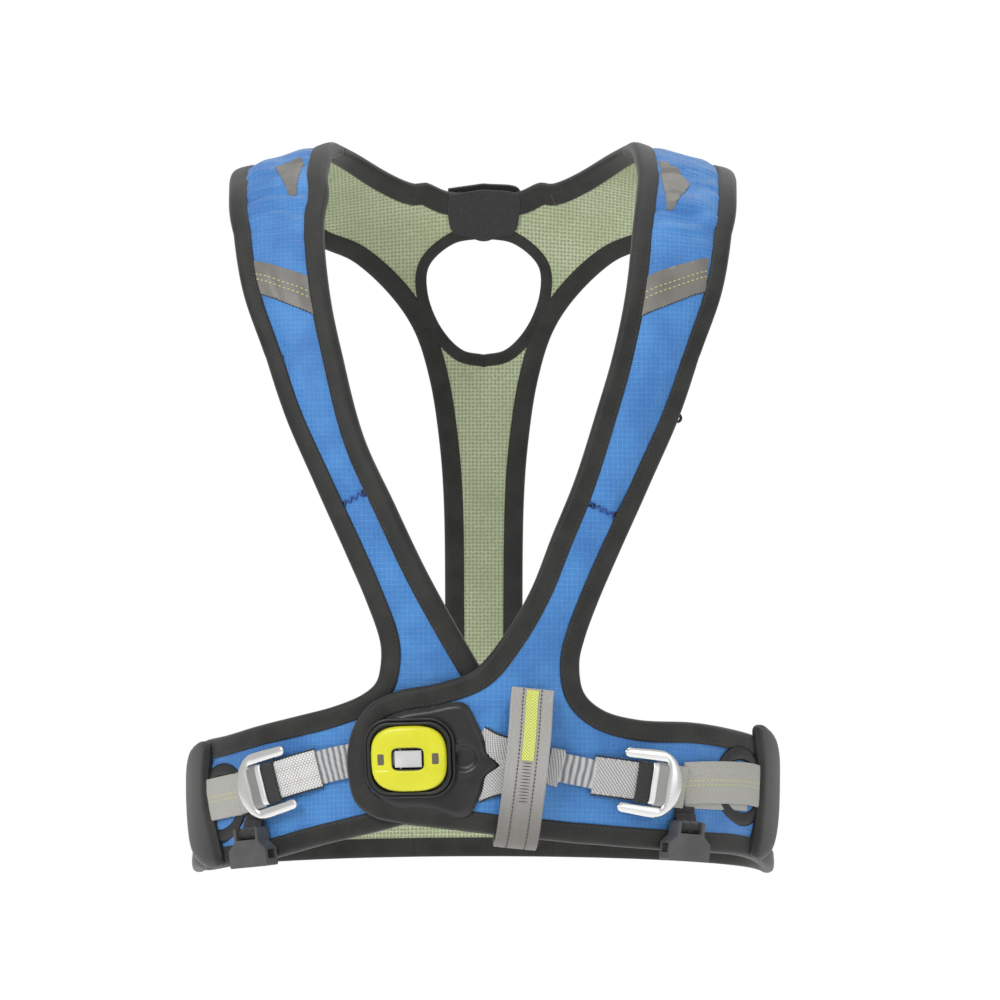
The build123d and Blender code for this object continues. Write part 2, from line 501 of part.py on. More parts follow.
def back_panel():
    """The yoke between the shoulder blades, with its hole, and the stem down to the belt."""
    top_edge = [(-BACK_HALF, 503), (-36, 503.5), (-20, 512), (20, 512), (36, 503.5), (BACK_HALF, 503)]
    outline_p = top_edge + [(BACK_HALF, 594), (34, 624), (28, 662), (25, 701), (24, 790), (24, STEM_END),
                            (-24, STEM_END), (-24, 790), (-25, 701), (-28, 662), (-34, 624), (-BACK_HALF, 594)]
    hole_side = [(0, 538), (20, 540), (36, 553), (37, 570), (28, 592), (14, 606), (0, 609)]
    hole_p = hole_side[:-1] + [(-p, q) for p, q in hole_side[:0:-1]]
    # The outlines are set out on the form and cut straight through from front to back.
    outline = [(form(p, q)[0], form(p, q)[2]) for p, q in outline_p]
    hole = [(form(p, q)[0], form(p, q)[2]) for p, q in hole_p]
    rows = [(-58, q, 58, q) for q in (496, 530, 565, 600, 640, 700, 780, STEM_END + 4)]
    prism = extrude(Plane.XZ * make_face(Polyline(*outline, close=True)), -200)
    bore = extrude(Plane.XZ * make_face(Spline(*hole, periodic=True)), -200)
    belts = [(BELT_BACK_P + 3, BELT_TOP, BELT_BACK_P + 3, BELT_HEM), (BELT_MID_P, BELT_TOP, BELT_MID_P, BELT_HEM),
             (2*BELT_MID_P - BELT_BACK_P - 3, BELT_TOP, 2*BELT_MID_P - BELT_BACK_P - 3, BELT_HEM)]
    for layer, heights in LAYERS:
        yoke = (panel(rows, heights, steps=1) & prism) - bore
        write(f"back_{layer}", yoke, panel(belts, heights))
    left_stem = [(BACK_HALF, 594), (34, 624), (28, 662), (25, 701), (24, 790), (24, STEM_END)]
    strips = [binding(top_edge, 1), binding(left_stem, 1), binding([(-p, q) for p, q in left_stem], -1),
              binding(hole_side, -1, width=6), binding([(-p, q) for p, q in hole_side], 1, width=6),
              binding([b[:2] for b in belts], -1), binding([b[2:] for b in belts], 1)]
    write("back_binding", *strips)
    write("back_belt_webbing", strap([(b[0], -5, 5.45) for b in belts], BELT_WEB_WIDTH, 1.5))
    write("stem_patch", strap([(0, 824, 8.0), (0, 862, 8.0), (0, 903, 8.0)], 44, 1.0))
    write("nape_bridge", panel([(-24, 515, -24, 537), (0, 516, 0, 539), (24, 515, 24, 537)], (7.0, 8.6)))
    hang = local(0, 526, 8.8) * Rot(90, 0, 0) * Torus(12, 1.3)
    write("hang_loop", hang & (local(0, 526, 8.8) * Pos(0, 0, 20) * Box(60, 60, 40)))


os.makedirs("parts", exist_ok=True)
left_front()
right_front()
buckle()
soft_loop()
back_panel()
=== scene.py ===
"""Looks of a slim chest-harness life jacket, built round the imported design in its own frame.

Soft pieces lie on the same torso form as the design. A place on it is (p, q, n) in millimetres: p runs
round the body from the centre front towards the wearer's left, q runs up the front, over the shoulder
and down the back, and n stands off the form. Blender's own units are metres.
"""

import math

import bmesh
import bpy
import numpy as np
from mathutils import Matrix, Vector
from mathutils.geometry import delaunay_2d_cdt


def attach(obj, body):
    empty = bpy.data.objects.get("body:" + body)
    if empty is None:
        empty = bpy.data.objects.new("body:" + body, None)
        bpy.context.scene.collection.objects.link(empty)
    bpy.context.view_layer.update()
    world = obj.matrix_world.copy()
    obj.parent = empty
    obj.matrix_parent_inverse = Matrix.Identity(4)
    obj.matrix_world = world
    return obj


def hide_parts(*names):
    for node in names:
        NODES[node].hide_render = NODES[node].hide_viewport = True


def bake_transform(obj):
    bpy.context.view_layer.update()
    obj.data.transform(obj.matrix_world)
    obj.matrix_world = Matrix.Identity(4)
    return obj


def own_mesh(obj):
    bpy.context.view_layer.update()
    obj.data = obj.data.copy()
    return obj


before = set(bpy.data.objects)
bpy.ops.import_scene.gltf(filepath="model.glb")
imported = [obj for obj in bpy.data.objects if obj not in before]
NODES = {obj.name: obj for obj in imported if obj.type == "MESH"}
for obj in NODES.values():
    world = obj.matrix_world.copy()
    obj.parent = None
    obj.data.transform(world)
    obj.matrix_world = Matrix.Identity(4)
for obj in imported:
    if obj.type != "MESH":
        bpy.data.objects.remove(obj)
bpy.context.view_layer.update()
MM = 0.001

# ---- the torso form -----------------------------------------------------------------------------
TORSO_SIDE = [(-116, -70), (-118, 0), (-121, 70), (-126, 140), (-124, 200), (-112, 255), (-90, 300),
              (-62, 335), (-28, 362), (8, 375), (42, 370), (72, 350), (95, 318), (110, 275),
              (117, 220), (119, 160), (119, 90), (118, 20), (117, -40)]     # (y, z), front to back
HALF_BREADTH = [(-70, 174), (60, 174), (140, 186), (250, 215), (340, 300), (433, 600), (545, 300),
                (640, 220), (760, 186), (905, 174)]                         # (q, half breadth)
SHOULDER_Q, SHOULDER_FALL, SHOULDER_SPREAD, SHOULDER_X = 433, 0.29, 95, 110
SIDE_DROP = 24
SIDE = np.array(TORSO_SIDE, float)
ARC = np.concatenate([[0], np.cumsum(np.hypot(*np.diff(SIDE, axis=0).T))])
ARC -= ARC[1]
TANGENTS = np.gradient(SIDE, ARC, axis=0)

COVER_TOP = 5.3              # the design's cover height
PAD_EDGE = 4.3               # cover height under the bindings
PAD_WING, PAD_STRAP = 5.9, 6.9
PAD_FLOOR = 0.7
FLAP_THICK, FLAP_LIFT = 2.9, 11.0
LINING_TOP = 0.55
BINDING_WIDTH = 11.4
HALF_CUT = 43.5              # the back panel's half width
BELT_END = 501.0
BELT_TOP, BELT_HEM = 32.0, -43.0
STEM_END = 853.0
MID_BACK = 546.6
WING_END = 213.0


def ease(t):
    t = np.clip(t, 0, 1)
    return t*t*(3 - 2*t)


def form(p, q):
    """Points of the bare form, in millimetres."""
    p, q = np.broadcast_arrays(np.asarray(p, float), np.asarray(q, float))
    i = np.clip(np.searchsorted(ARC, q) - 1, 0, len(ARC) - 2)
    h = ARC[i + 1] - ARC[i]
    t = (q - ARC[i]) / h
    y, z = sum(w[..., None]*v for w, v in (
        (2*t**3 - 3*t**2 + 1, SIDE[i]), ((t**3 - 2*t**2 + t)*h, TANGENTS[i]),
        (3*t**2 - 2*t**3, SIDE[i + 1]), ((t**3 - t**2)*h, TANGENTS[i + 1]))).T
    y, z = y.T, z.T
    breadth = np.interp(q, *zip(*HALF_BREADTH))
    turn = p / breadth
    x = breadth*np.sin(turn)
    fall = SHOULDER_FALL*np.exp(-((q - SHOULDER_Q)/SHOULDER_SPREAD)**2)*(np.abs(x) - SHOULDER_X)
    drop = SIDE_DROP*(1 - np.maximum(np.cos(turn), 0))*(1 - ease((q - 100)/100))
    return np.stack([x, y*np.cos(turn), z - fall - drop], -1)


def unit(v):
    return v / np.maximum(np.linalg.norm(v, axis=-1, keepdims=True), 1e-9)


def outward(p, q):
    p, q = np.asarray(p, float), np.asarray(q, float)
    return unit(np.cross(form(p + 0.5, q) - form(p - 0.5, q), form(p, q + 0.5) - form(p, q - 0.5)))


def at(p, q, n=0.0):
    """Points in metres."""
    n = np.broadcast_to(np.asarray(n, float), np.broadcast(p, q).shape)
    return (form(p, q) + n[..., None]*outward(p, q))*MM


def place(p, q, n=0.0, roll=0.0):
    """A 4x4 placement on the form, in metres: x round the body, y up it, z outward."""
    z = outward(p, q)
    x = form(p + 0.5, q) - form(p - 0.5, q)
    x = unit(x - np.dot(x, z)*z)
    y = np.cross(z, x)
    r = math.radians(roll)
    m = np.eye(4)
    m[:3, 0] = math.cos(r)*x + math.sin(r)*y
    m[:3, 1] = math.cos(r)*y - math.sin(r)*x
    m[:3, 2] = z
    m[:3, 3] = at(p, q, n)
    return m


def moved(points, m):
    """Points in millimetres of a placement, in metres of the frame."""
    return np.asarray(points, float)*MM @ m[:3, :3].T + m[:3, 3]


# ---- curves and noise ---------------------------------------------------------------------------
def smooth(points, per=10):
    """A dense smooth line through given points, with per steps between two of them."""
    pts = np.array(points, float)
    ends = np.vstack([2*pts[0] - pts[1], pts, 2*pts[-1] - pts[-2]])
    out = []
    for a, b, c, d in zip(ends, ends[1:], ends[2:], ends[3:]):
        k = [max(np.linalg.norm(v), 1e-6)**0.5 for v in (b - a, c - b, d - c)]
        m0 = (b - a)/k[0] - (c - a)/(k[0] + k[1]) + (c - b)/k[1]
        m1 = (c - b)/k[1] - (d - b)/(k[1] + k[2]) + (d - c)/k[2]
        m0, m1 = m0*k[1], m1*k[1]
        t = (np.arange(per)/per)[:, None]
        out.append((2*t**3 - 3*t**2 + 1)*b + (t**3 - 2*t**2 + t)*m0 + (3*t**2 - 2*t**3)*c
                   + (t**3 - t**2)*m1)
    return np.vstack(out + [pts[-1:]])


def runs(*parts, per=10):
    """One smooth line through several runs of points, cut where each run begins."""
    line = smooth([p for part in parts for p in part], per)
    cuts = np.cumsum([0] + [len(part) for part in parts])*per
    cuts[-1] = len(line) - 1
    return [line[a:b + 1] for a, b in zip(cuts, cuts[1:])]


def along(line):
    return np.concatenate([[0], np.cumsum(np.linalg.norm(np.diff(line, axis=0), axis=1))])


def resample(line, step, closed=False):
    line = np.asarray(line, float)
    if closed:
        line = np.vstack([line, line[:1]])
    s = along(line)
    count = max(int(round(s[-1]/step)), 2)
    t = np.linspace(0, s[-1], count + 1)
    out = np.stack([np.interp(t, s, c) for c in line.T], 1)
    return out[:-1] if closed else out


LATTICE = np.random.default_rng(7).random((64, 64))*2 - 1


def noise(x, y, shift=0):
    """Smooth seeded noise in two directions, from -1 to 1."""
    x, y = np.asarray(x, float) + 31.7*shift, np.asarray(y, float) + 17.3*shift
    i, j = np.floor(x).astype(int), np.floor(y).astype(int)
    u, v = ease(x - i), ease(y - j)
    a, b = LATTICE[i % 64, j % 64], LATTICE[(i + 1) % 64, j % 64]
    c, d = LATTICE[i % 64, (j + 1) % 64], LATTICE[(i + 1) % 64, (j + 1) % 64]
    return (a*(1 - u) + b*u)*(1 - v) + (c*(1 - u) + d*u)*v


# ---- meshes -------------------------------------------------------------------------------------
def mesh_object(name, points, faces, lay=None, sharp=None, paint=None):
    """A smooth mesh; lay holds each point's cloth coordinates in metres, paint a value per point."""
    me = bpy.data.meshes.new(name)
    me.from_pydata([tuple(p) for p in np.asarray(points).reshape(-1, 3)], [],
                   [tuple(map(int, f)) for f in faces])
    me.shade_smooth()
    if lay is not None:
        lay = np.asarray(lay, float).reshape(len(me.vertices), -1)
        full = np.zeros((len(lay), 3))
        full[:, :lay.shape[1]] = lay
        me.attributes.new("lay", "FLOAT_VECTOR", "POINT").data.foreach_set("vector", full.ravel())
    if paint is not None:
        paint = np.asarray(paint, float).ravel()
        me.attributes.new("paint", "FLOAT", "POINT").data.foreach_set("value", paint)
    if sharp is not None:
        flags = np.zeros(len(me.edges), bool)
        wanted = {frozenset(map(int, e)) for e in sharp}
        for e in me.edges:
            flags[e.index] = frozenset(e.vertices) in wanted
        me.attributes.new("sharp_edge", "BOOLEAN", "EDGE").data.foreach_set("value", flags)
    ob = bpy.data.objects.new(name, me)
    bpy.context.scene.collection.objects.link(ob)
    return ob


def outward_faces(ob):
    """Turns a closed mesh's faces outward."""
    bm = bmesh.new()
    bm.from_mesh(ob.data)
    bmesh.ops.recalc_face_normals(bm, faces=bm.faces)
    bm.to_mesh(ob.data)
    bm.free()
    return ob


def grid_faces(rows, cols, wrap=False):
    out = []
    for i in range(rows - 1):
        for j in range(cols if wrap else cols - 1):
            k = (j + 1) % cols
            out.append((i*cols + j, i*cols + k, (i + 1)*cols + k, (i + 1)*cols + j))
    return out


def tube_faces(rows, cols):
    """Faces of a closed section swept along rows, with both ends capped."""
    faces = grid_faces(rows, cols, wrap=True)
    faces.append(tuple(range(cols))[::-1])
    faces.append(tuple((rows - 1)*cols + j for j in range(cols)))
    return faces


def inside(points, loop):
    x, y = points.T
    hit = np.zeros(len(points), bool)
    for (x0, y0), (x1, y1) in zip(loop, np.roll(loop, -1, axis=0)):
        span = (y0 > y) != (y1 > y)
        if y1 != y0:
            hit ^= span & (x < (x1 - x0)*(y - y0)/(y1 - y0) + x0)
    return hit


BATCH = 4000             # points measured at once, to save memory


def line_distance(points, lines):
    """Distance of each point from the nearest of several open lines."""
    best = np.full(len(points), 1e9)
    for line in lines:
        a, b = line[:-1], line[1:]
        d = b - a
        size = np.maximum((d*d).sum(1), 1e-9)
        for k in range(0, len(points), BATCH):
            v = points[k:k + BATCH, None] - a[None]
            t = np.clip((v*d).sum(2)/size, 0, 1)
            near = np.linalg.norm(v - t[..., None]*d, axis=2).min(1)
            best[k:k + BATCH] = np.minimum(best[k:k + BATCH], near)
    return best


def filled(points, loops):
    """Which points are inside the first loop and outside the others."""
    keep = inside(points, loops[0])
    for hole in loops[1:]:
        keep &= ~inside(points, hole)
    return keep


def ringed(loop):
    """An outline with its first point repeated at its end."""
    return np.vstack([loop, loop[:1]])


def region(edges, spacing, holes=()):
    """Points and triangles that fill a closed outline made of lines laid end to end."""
    loop = np.vstack([resample(e, spacing)[:-1] for e in edges])
    loops = [loop] + [resample(h, spacing, closed=True) for h in holes]
    low, high = loop.min(0), loop.max(0)
    lattice = []
    for k, y in enumerate(np.arange(low[1], high[1], spacing*math.sqrt(3)/2)):
        x = np.arange(low[0] + (k % 2)*spacing/2, high[0], spacing)
        lattice.append(np.stack([x, np.full(len(x), y)], 1))
    lattice = np.vstack(lattice)
    lattice = lattice[filled(lattice, loops)]
    lattice = lattice[line_distance(lattice, [ringed(x) for x in loops]) > 0.55*spacing]
    points = np.vstack(loops + [lattice])
    edges, start = [], 0
    for x in loops:
        edges += [(start + i, start + (i + 1) % len(x)) for i in range(len(x))]
        start += len(x)
    made = delaunay_2d_cdt([tuple(p) for p in points], edges, [], 0, 1e-6)
    verts = np.array([tuple(v) for v in made[0]])
    tris = np.array(made[2])
    tris = tris[filled(verts[tris].mean(1), loops)]
    a, b, c = verts[tris[:, 0]], verts[tris[:, 1]], verts[tris[:, 2]]
    turn = (b - a)[:, 0]*(c - a)[:, 1] - (b - a)[:, 1]*(c - a)[:, 0]
    tris[turn < 0] = tris[turn < 0][:, ::-1]
    return verts, tris


def rim_edges(tris):
    """Directed edges that only one triangle uses."""
    seen = {e: True for a, b, c in tris for e in ((a, b), (b, c), (c, a))}
    return [e for e in seen if (e[1], e[0]) not in seen]


def closed_sheet(name, points, tris, lay, crease_top=True):
    """A closed mesh of two sheets of the same triangles, joined round their rims; points lists the upper
    sheet, then the lower one."""
    count = len(lay)
    rim = rim_edges(tris)
    faces = [tuple(t) for t in tris] + [tuple(t[::-1] + count) for t in tris]
    faces += [(b, a, a + count, b + count) for a, b in rim]
    sharp = (rim if crease_top else []) + [(a + count, b + count) for a, b in rim]
    return mesh_object(name, points, faces, np.vstack([lay, lay]), sharp)


def slab(name, pq, tris, low, high):
    """A closed sheet between two heights above the form."""
    return closed_sheet(name, np.vstack([at(*pq.T, high), at(*pq.T, low)]), tris, pq*MM)


def ribbon(name, centre, across, up, width, thick, pattern=None, depth=0.0, cols=9):
    """A flat webbing with rounded edges. centre, across and up are per row; a pattern of (s, w), along and
    across in millimetres, lifts its face by up to depth and paints it."""
    centre, across, up = (np.asarray(v, float) for v in (centre, across, up))
    rows = len(centre)
    width = np.broadcast_to(np.asarray(width, float), rows)
    s = along(centre)/MM
    lane = np.linspace(-1, 1, cols)
    top = np.stack([lane, np.ones(cols)], 1)
    turn = np.linspace(0, math.pi, 5)[1:-1]
    right = np.stack([1 + np.sin(turn)*thick/width.mean(), np.cos(turn)], 1)
    left = right[::-1]*(-1, 1)
    section = np.vstack([top, right, top[::-1]*(1, -1), left])
    w = section[None, :, 0]*width[:, None]/2
    h = np.broadcast_to(section[None, :, 1]*thick/2, w.shape).copy()
    paint = None
    if pattern is not None:
        paint = pattern(np.broadcast_to(s[:, None], w.shape), w)
        h += np.where(section[None, :, 1] > 0.5, depth*paint, 0)
    points = centre[:, None] + (w[..., None]*across[:, None] + h[..., None]*up[:, None])*MM
    lay = np.stack([np.broadcast_to(s[:, None]*MM, w.shape), w*MM], -1)
    return outward_faces(mesh_object(name, points, tube_faces(rows, len(section)), lay, paint=paint))


def strap_lines(route, step):
    """Centre, across and up of a webbing laid on the form along points (p, q, n of its lower face)."""
    line = resample(smooth(route, 12), step)
    p, q, n = line.T
    centre = at(p, q, n)
    ahead = unit(np.gradient(centre, axis=0))
    up = outward(p, q)
    across = unit(np.cross(up, ahead))
    up = unit(np.cross(ahead, across))
    return centre, across, up


# ---- materials ----------------------------------------------------------------------------------
class Shade:
    """A material in the making: each method adds nodes and returns the socket with their result."""

    def __init__(self, name, rough=0.5, metal=0.0, sheen=0.0, coat=0.0, coat_rough=0.1, specular=0.5):
        self.mat = bpy.data.materials.new(name)
        self.mat.use_nodes = True
        self.tree = self.mat.node_tree
        self.shader = self.tree.nodes["Principled BSDF"].inputs
        for socket, value in (("Roughness", rough), ("Metallic", metal), ("Sheen Weight", sheen),
                              ("Sheen Roughness", 0.4), ("Coat Weight", coat), ("Coat Roughness", coat_rough),
                              ("Specular IOR Level", specular)):
            self.shader[socket].default_value = value

    def feed(self, socket, value):
        if isinstance(value, bpy.types.NodeSocket):
            self.tree.links.new(value, socket)
        else:
            socket.default_value = value

    def node(self, kind, inputs=(), **settings):
        made = self.tree.nodes.new("ShaderNode" + kind)
        for key, value in settings.items():
            setattr(made, key, value)
        for key, value in dict(inputs).items():
            self.feed(made.inputs[key], value)
        return made.outputs

    def math(self, operation, a, b=0.0):
        return self.node("Math", {0: a, 1: b}, operation=operation)[0]

    def mul(self, a, b):
        return self.math("MULTIPLY", a, b)

    def add(self, a, b):
        return self.math("ADD", a, b)

    def sub(self, a, b):
        return self.math("SUBTRACT", a, b)

    def wave(self, value, rate):
        return self.math("SINE", self.mul(value, rate))

    def from_middle(self, value, pitch):
        """How far value is from the middle of its cell, where cells repeat every pitch, in cells."""
        return self.math("ABSOLUTE", self.sub(self.math("FRACT", self.math("DIVIDE", value, pitch)), 0.5))

    def step(self, value, low, high):
        """0 below low, 1 above high, and a smooth rise between them."""
        return self.node("MapRange", {"Value": value, "From Min": low, "From Max": high},
                         interpolation_type="SMOOTHSTEP")["Result"]

    def stripes(self, value, pitch, share):
        """1 on thin lines that repeat every pitch, share of it wide."""
        return self.step(self.from_middle(value, pitch), 0.5 - share, 0.5 - share*0.4)

    def lay(self):
        """The piece's cloth coordinates, in metres: as a vector, along, and across."""
        vector = self.node("Attribute", attribute_name="lay")["Vector"]
        split = self.node("SeparateXYZ", {0: vector})
        return vector, split["X"], split["Y"]

    def noise(self, scale, detail=3.0, vector=None):
        vector = vector or self.node("TexCoord")["Object"]
        return self.node("TexNoise", {"Scale": scale, "Detail": detail, "Roughness": 0.55,
                                      "Vector": vector})["Fac"]

    def cells(self, vector, feature, scale, randomness):
        return self.node("TexVoronoi", {"Scale": scale, "Randomness": randomness, "Vector": vector},
                         feature=feature)["Distance"]

    def mix(self, factor, a, b):
        a, b = ((*v, 1) if isinstance(v, tuple) else v for v in (a, b))
        return self.node("Mix", {"Factor": factor, 6: a, 7: b}, data_type="RGBA")[2]

    def finish(self, colour, height, depth, gloss=None, low=0.0, high=1.0):
        """Sets colour and bump and, where gloss is given, a roughness that varies with it."""
        self.feed(self.shader["Base Color"], colour)
        relief = self.node("Bump", {"Distance": depth, "Strength": 1.0, "Height": height})
        self.feed(self.shader["Normal"], relief["Normal"])
        if gloss is not None:
            rough = self.node("MapRange", {"Value": gloss, "To Min": low, "To Max": high})
            self.feed(self.shader["Roughness"], rough["Result"])
        return self.mat


def ripstop():
    """Blue ripstop nylon: fine plain weave, lighter reinforcing threads in a square grid."""
    s = Shade("ripstop", sheen=0.35, specular=0.45)
    vector, x, y = s.lay()
    grid = s.math("MAXIMUM", s.stripes(x, 0.0031, 0.11), s.stripes(y, 0.0031, 0.11))
    weave = s.mul(s.wave(x, 9000.0), s.wave(y, 9000.0))
    cloud = s.noise(34.0, 4.0)
    base = s.mix(s.step(cloud, 0.32, 0.7), (0.030, 0.165, 0.49), (0.050, 0.240, 0.62))
    slub = s.step(s.noise(900.0, 2.0, vector), 0.35, 0.75)
    base = s.mix(s.mul(slub, 0.35), base, (0.10, 0.30, 0.66))
    threads = s.mul(grid, s.sub(s.mul(cloud, 1.1), 0.17))
    crinkle = s.noise(260.0)
    height = s.add(s.add(s.mul(grid, 0.5), s.mul(weave, 0.12)), s.mul(crinkle, 2.4))
    return s.finish(s.mix(threads, base, (0.15, 0.40, 0.78)), height, 0.00026, crinkle, 0.36, 0.58)


def mesh_lining():
    """Olive spacer mesh with small round cells."""
    s = Shade("lining_mesh", rough=0.85, sheen=0.2, specular=0.25)
    hole = s.step(s.cells(s.lay()[0], "F1", 420.0, 0.15), 0.22, 0.42)
    base = s.mix(s.step(s.noise(30.0), 0.3, 0.7), (0.46, 0.52, 0.32), (0.54, 0.60, 0.40))
    return s.finish(s.mix(hole, (0.33, 0.375, 0.23), base), hole, 0.0005)


def satin_binding():
    """Black stretch binding: fine ribs across, a soft sheen."""
    s = Shade("binding_tape", sheen=0.34, specular=0.35)
    vector, x, _ = s.lay()
    cloud, fuzz = s.noise(60.0, 4.0), s.noise(1500.0, 2.0, vector)
    base = s.mix(s.step(cloud, 0.3, 0.7), (0.013, 0.013, 0.012), (0.026, 0.026, 0.024))
    base = s.mix(s.mul(s.step(fuzz, 0.5, 0.8), 0.5), base, (0.055, 0.055, 0.052))
    height = s.add(s.mul(s.wave(x, 2*math.pi/0.0009), 0.35), fuzz)
    return s.finish(base, height, 0.00012, cloud, 0.42, 0.60)


def twill(name, dark, light, pitch=0.0016, accent=None, rough=0.6, wrap_shade=None):
    """Flat woven webbing: slanted ribs, thin coloured lines down the middle, or an end in painted shade."""
    s = Shade(name, rough=rough, sheen=0.3, specular=0.35)
    vector, x, y = s.lay()
    slant = s.add(x, s.mul(s.from_middle(y, 0.006), 0.006))
    rib = s.add(s.mul(s.wave(slant, 2*math.pi/pitch), 0.5), 0.5)
    yarn = s.noise(800.0, 3.0, vector)
    base = s.mix(s.mul(s.step(yarn, 0.4, 0.7), 0.4), s.mix(rib, dark, light), dark)
    if accent is not None:
        off = s.math("ABSOLUTE", s.sub(s.math("ABSOLUTE", y), 0.0014))
        near = s.sub(1.0, s.step(off, 0.0003, 0.0006))
        dash = s.step(s.wave(x, 2*math.pi/0.0032), -0.5, 0.2)
        base = s.mix(s.mul(near, dash), base, accent)
    # painted shade: the webbing darkens and browns towards this end, for the shade where it wraps under
    if wrap_shade is not None:
        start, end, colour = wrap_shade
        base = s.mix(s.mul(s.step(x, start, end), 0.72), base, colour)
    return s.finish(base, s.add(rib, s.mul(yarn, 0.5)), 0.00022, yarn, rough - 0.1, rough + 0.12)


def yarn_with_painted_shade(name, dark, light):
    """Coarse webbing whose yarns are shaped in the mesh: paint says how proud a yarn stands; sunken yarn is
    in painted shade.
    """
    s = Shade(name, sheen=0.3, specular=0.35)
    proud = s.node("Attribute", attribute_name="paint")["Fac"]
    yarn = s.noise(1300.0, 3.0, s.lay()[0])
    # painted shade: the colour runs from dark where the yarn sinks to light where it stands proud
    tone = s.step(s.add(proud, s.mul(yarn, 0.2)), 0.1, 0.95)
    return s.finish(s.mix(tone, dark, light), s.add(proud, yarn), 0.0002, yarn, 0.52, 0.72)


def reflective():
    """Grey retroreflective tape with a glass-bead grain and a faint honeycomb."""
    s = Shade("reflective_tape", rough=0.42, specular=0.6, coat=0.15, coat_rough=0.35)
    vector = s.lay()[0]
    wall = s.sub(1.0, s.step(s.cells(vector, "DISTANCE_TO_EDGE", 520.0, 0.0), 0.03, 0.12))
    bead = s.noise(2600.0, 2.0, vector)
    base = s.mix(s.step(s.noise(45.0), 0.3, 0.7), (0.165, 0.155, 0.14), (0.215, 0.205, 0.187))
    base = s.mix(s.mul(wall, 0.18), base, (0.15, 0.14, 0.13))
    return s.finish(base, s.add(bead, s.mul(wall, 0.4)), 0.00006, bead, 0.34, 0.52)


def plastic(name, dark, light, rough=0.4, coat=0.0, grain=700.0, depth=0.00008):
    """Moulded plastic: a spark-eroded grain, faint flow marks and rubbed patches."""
    s = Shade(name, coat=coat, coat_rough=0.22)
    spark, cloud = s.noise(grain, 4.0), s.noise(55.0, 4.0)
    base = s.mix(s.step(cloud, 0.3, 0.72), dark, light)
    return s.finish(base, spark, depth, cloud, rough - 0.08, rough + 0.1)


def polished_steel(name, rough=0.16, brush=0.0, tone=1.0):
    """Stainless steel with hair-fine polishing marks."""
    s = Shade(name, metal=1.0)
    stretch = s.node("Mapping", {"Scale": (60.0, 60.0, 2600.0), "Vector": s.node("TexCoord")["Object"]})
    marks, cloud = s.noise(1.0, 3.0, stretch["Vector"]), s.noise(90.0)
    dull, bright = (0.80*tone, 0.80*tone, 0.79*tone), (0.93*tone, 0.93*tone, 0.92*tone)
    height = s.add(s.mul(marks, 0.4 + brush), cloud)
    return s.finish(s.mix(cloud, dull, bright), height, 0.00002, marks, rough, rough + 0.16 + brush*0.2)


def thread(name, dark, light):
    s = Shade(name, rough=0.6, sheen=0.3, specular=0.4)
    twist = s.noise(2200.0, 2.0)
    return s.finish(s.mix(twist, dark, light), twist, 0.0001)


BLUE = ripstop()
OLIVE = mesh_lining()
BLACK_TAPE = satin_binding()
GREY_WEB = twill("grey_webbing", (0.36, 0.355, 0.325), (0.56, 0.555, 0.515), 0.0017,
                 accent=(0.55, 0.60, 0.24))
BLACK_WEB = twill("black_webbing", (0.016, 0.016, 0.017), (0.055, 0.055, 0.058))
# the loop's far end is darkened with painted shade, where it wraps under
SATIN = twill("loop_webbing", (0.40, 0.395, 0.375), (0.52, 0.51, 0.485), 0.0011, rough=0.5,
              wrap_shade=(0.045, 0.092, (0.15, 0.135, 0.12)))
# these three are darker where their yarns sink: painted shade in the hollows
WHITE_YARN = yarn_with_painted_shade("white_webbing", (0.31, 0.31, 0.315), (0.88, 0.87, 0.85))
ELASTIC = yarn_with_painted_shade("elastic", (0.12, 0.12, 0.125), (0.56, 0.57, 0.58))
LIME_YARN = yarn_with_painted_shade("loop_insert", (0.44, 0.48, 0.09), (0.86, 0.90, 0.26))
GREY_TAPE = reflective()
BLACK_PLASTIC = plastic("black_plastic", (0.012, 0.012, 0.012), (0.022, 0.022, 0.022), rough=0.36)
DARK_PLASTIC = plastic("dark_plastic", (0.075, 0.075, 0.077), (0.105, 0.105, 0.107), rough=0.42)
YELLOW_PLASTIC = plastic("yellow_plastic", (0.70, 0.69, 0.012), (0.77, 0.76, 0.02), rough=0.34, coat=0.25,
                         grain=420.0, depth=0.00003)
STEEL = polished_steel("steel")
BRUSHED = polished_steel("brushed_steel", rough=0.3, brush=0.6)
SILVER_PLASTIC = plastic("silver_plastic", (0.62, 0.62, 0.62), (0.78, 0.78, 0.78), rough=0.3, coat=0.2)
BROWN_PLASTIC = plastic("inlay_plastic", (0.115, 0.10, 0.07), (0.15, 0.13, 0.09), rough=0.4)
SPRING = polished_steel("spring_steel", rough=0.25)
GREY_STEEL = polished_steel("grey_steel", rough=0.34, brush=0.8, tone=0.42)
BLACK_THREAD = thread("black_thread", (0.02, 0.02, 0.02), (0.075, 0.075, 0.075))
BLUE_THREAD = thread("blue_thread", (0.01, 0.035, 0.20), (0.03, 0.09, 0.38))
LIME_THREAD = thread("lime_thread", (0.50, 0.56, 0.12), (0.80, 0.85, 0.36))
GREY_THREAD = thread("grey_thread", (0.035, 0.033, 0.03), (0.10, 0.095, 0.09))


LEFT, RIGHT, BACK = "left_front", "right_front", "back_panel"

# slots of the materials that aren't named after theirs
SLOTS = {"ripstop": "cover_fabric", "elastic": "white_webbing", "inlay_plastic": "dark_plastic",
         "grey_steel": "steel", "brushed_steel": "steel", "spring_steel": "steel"}


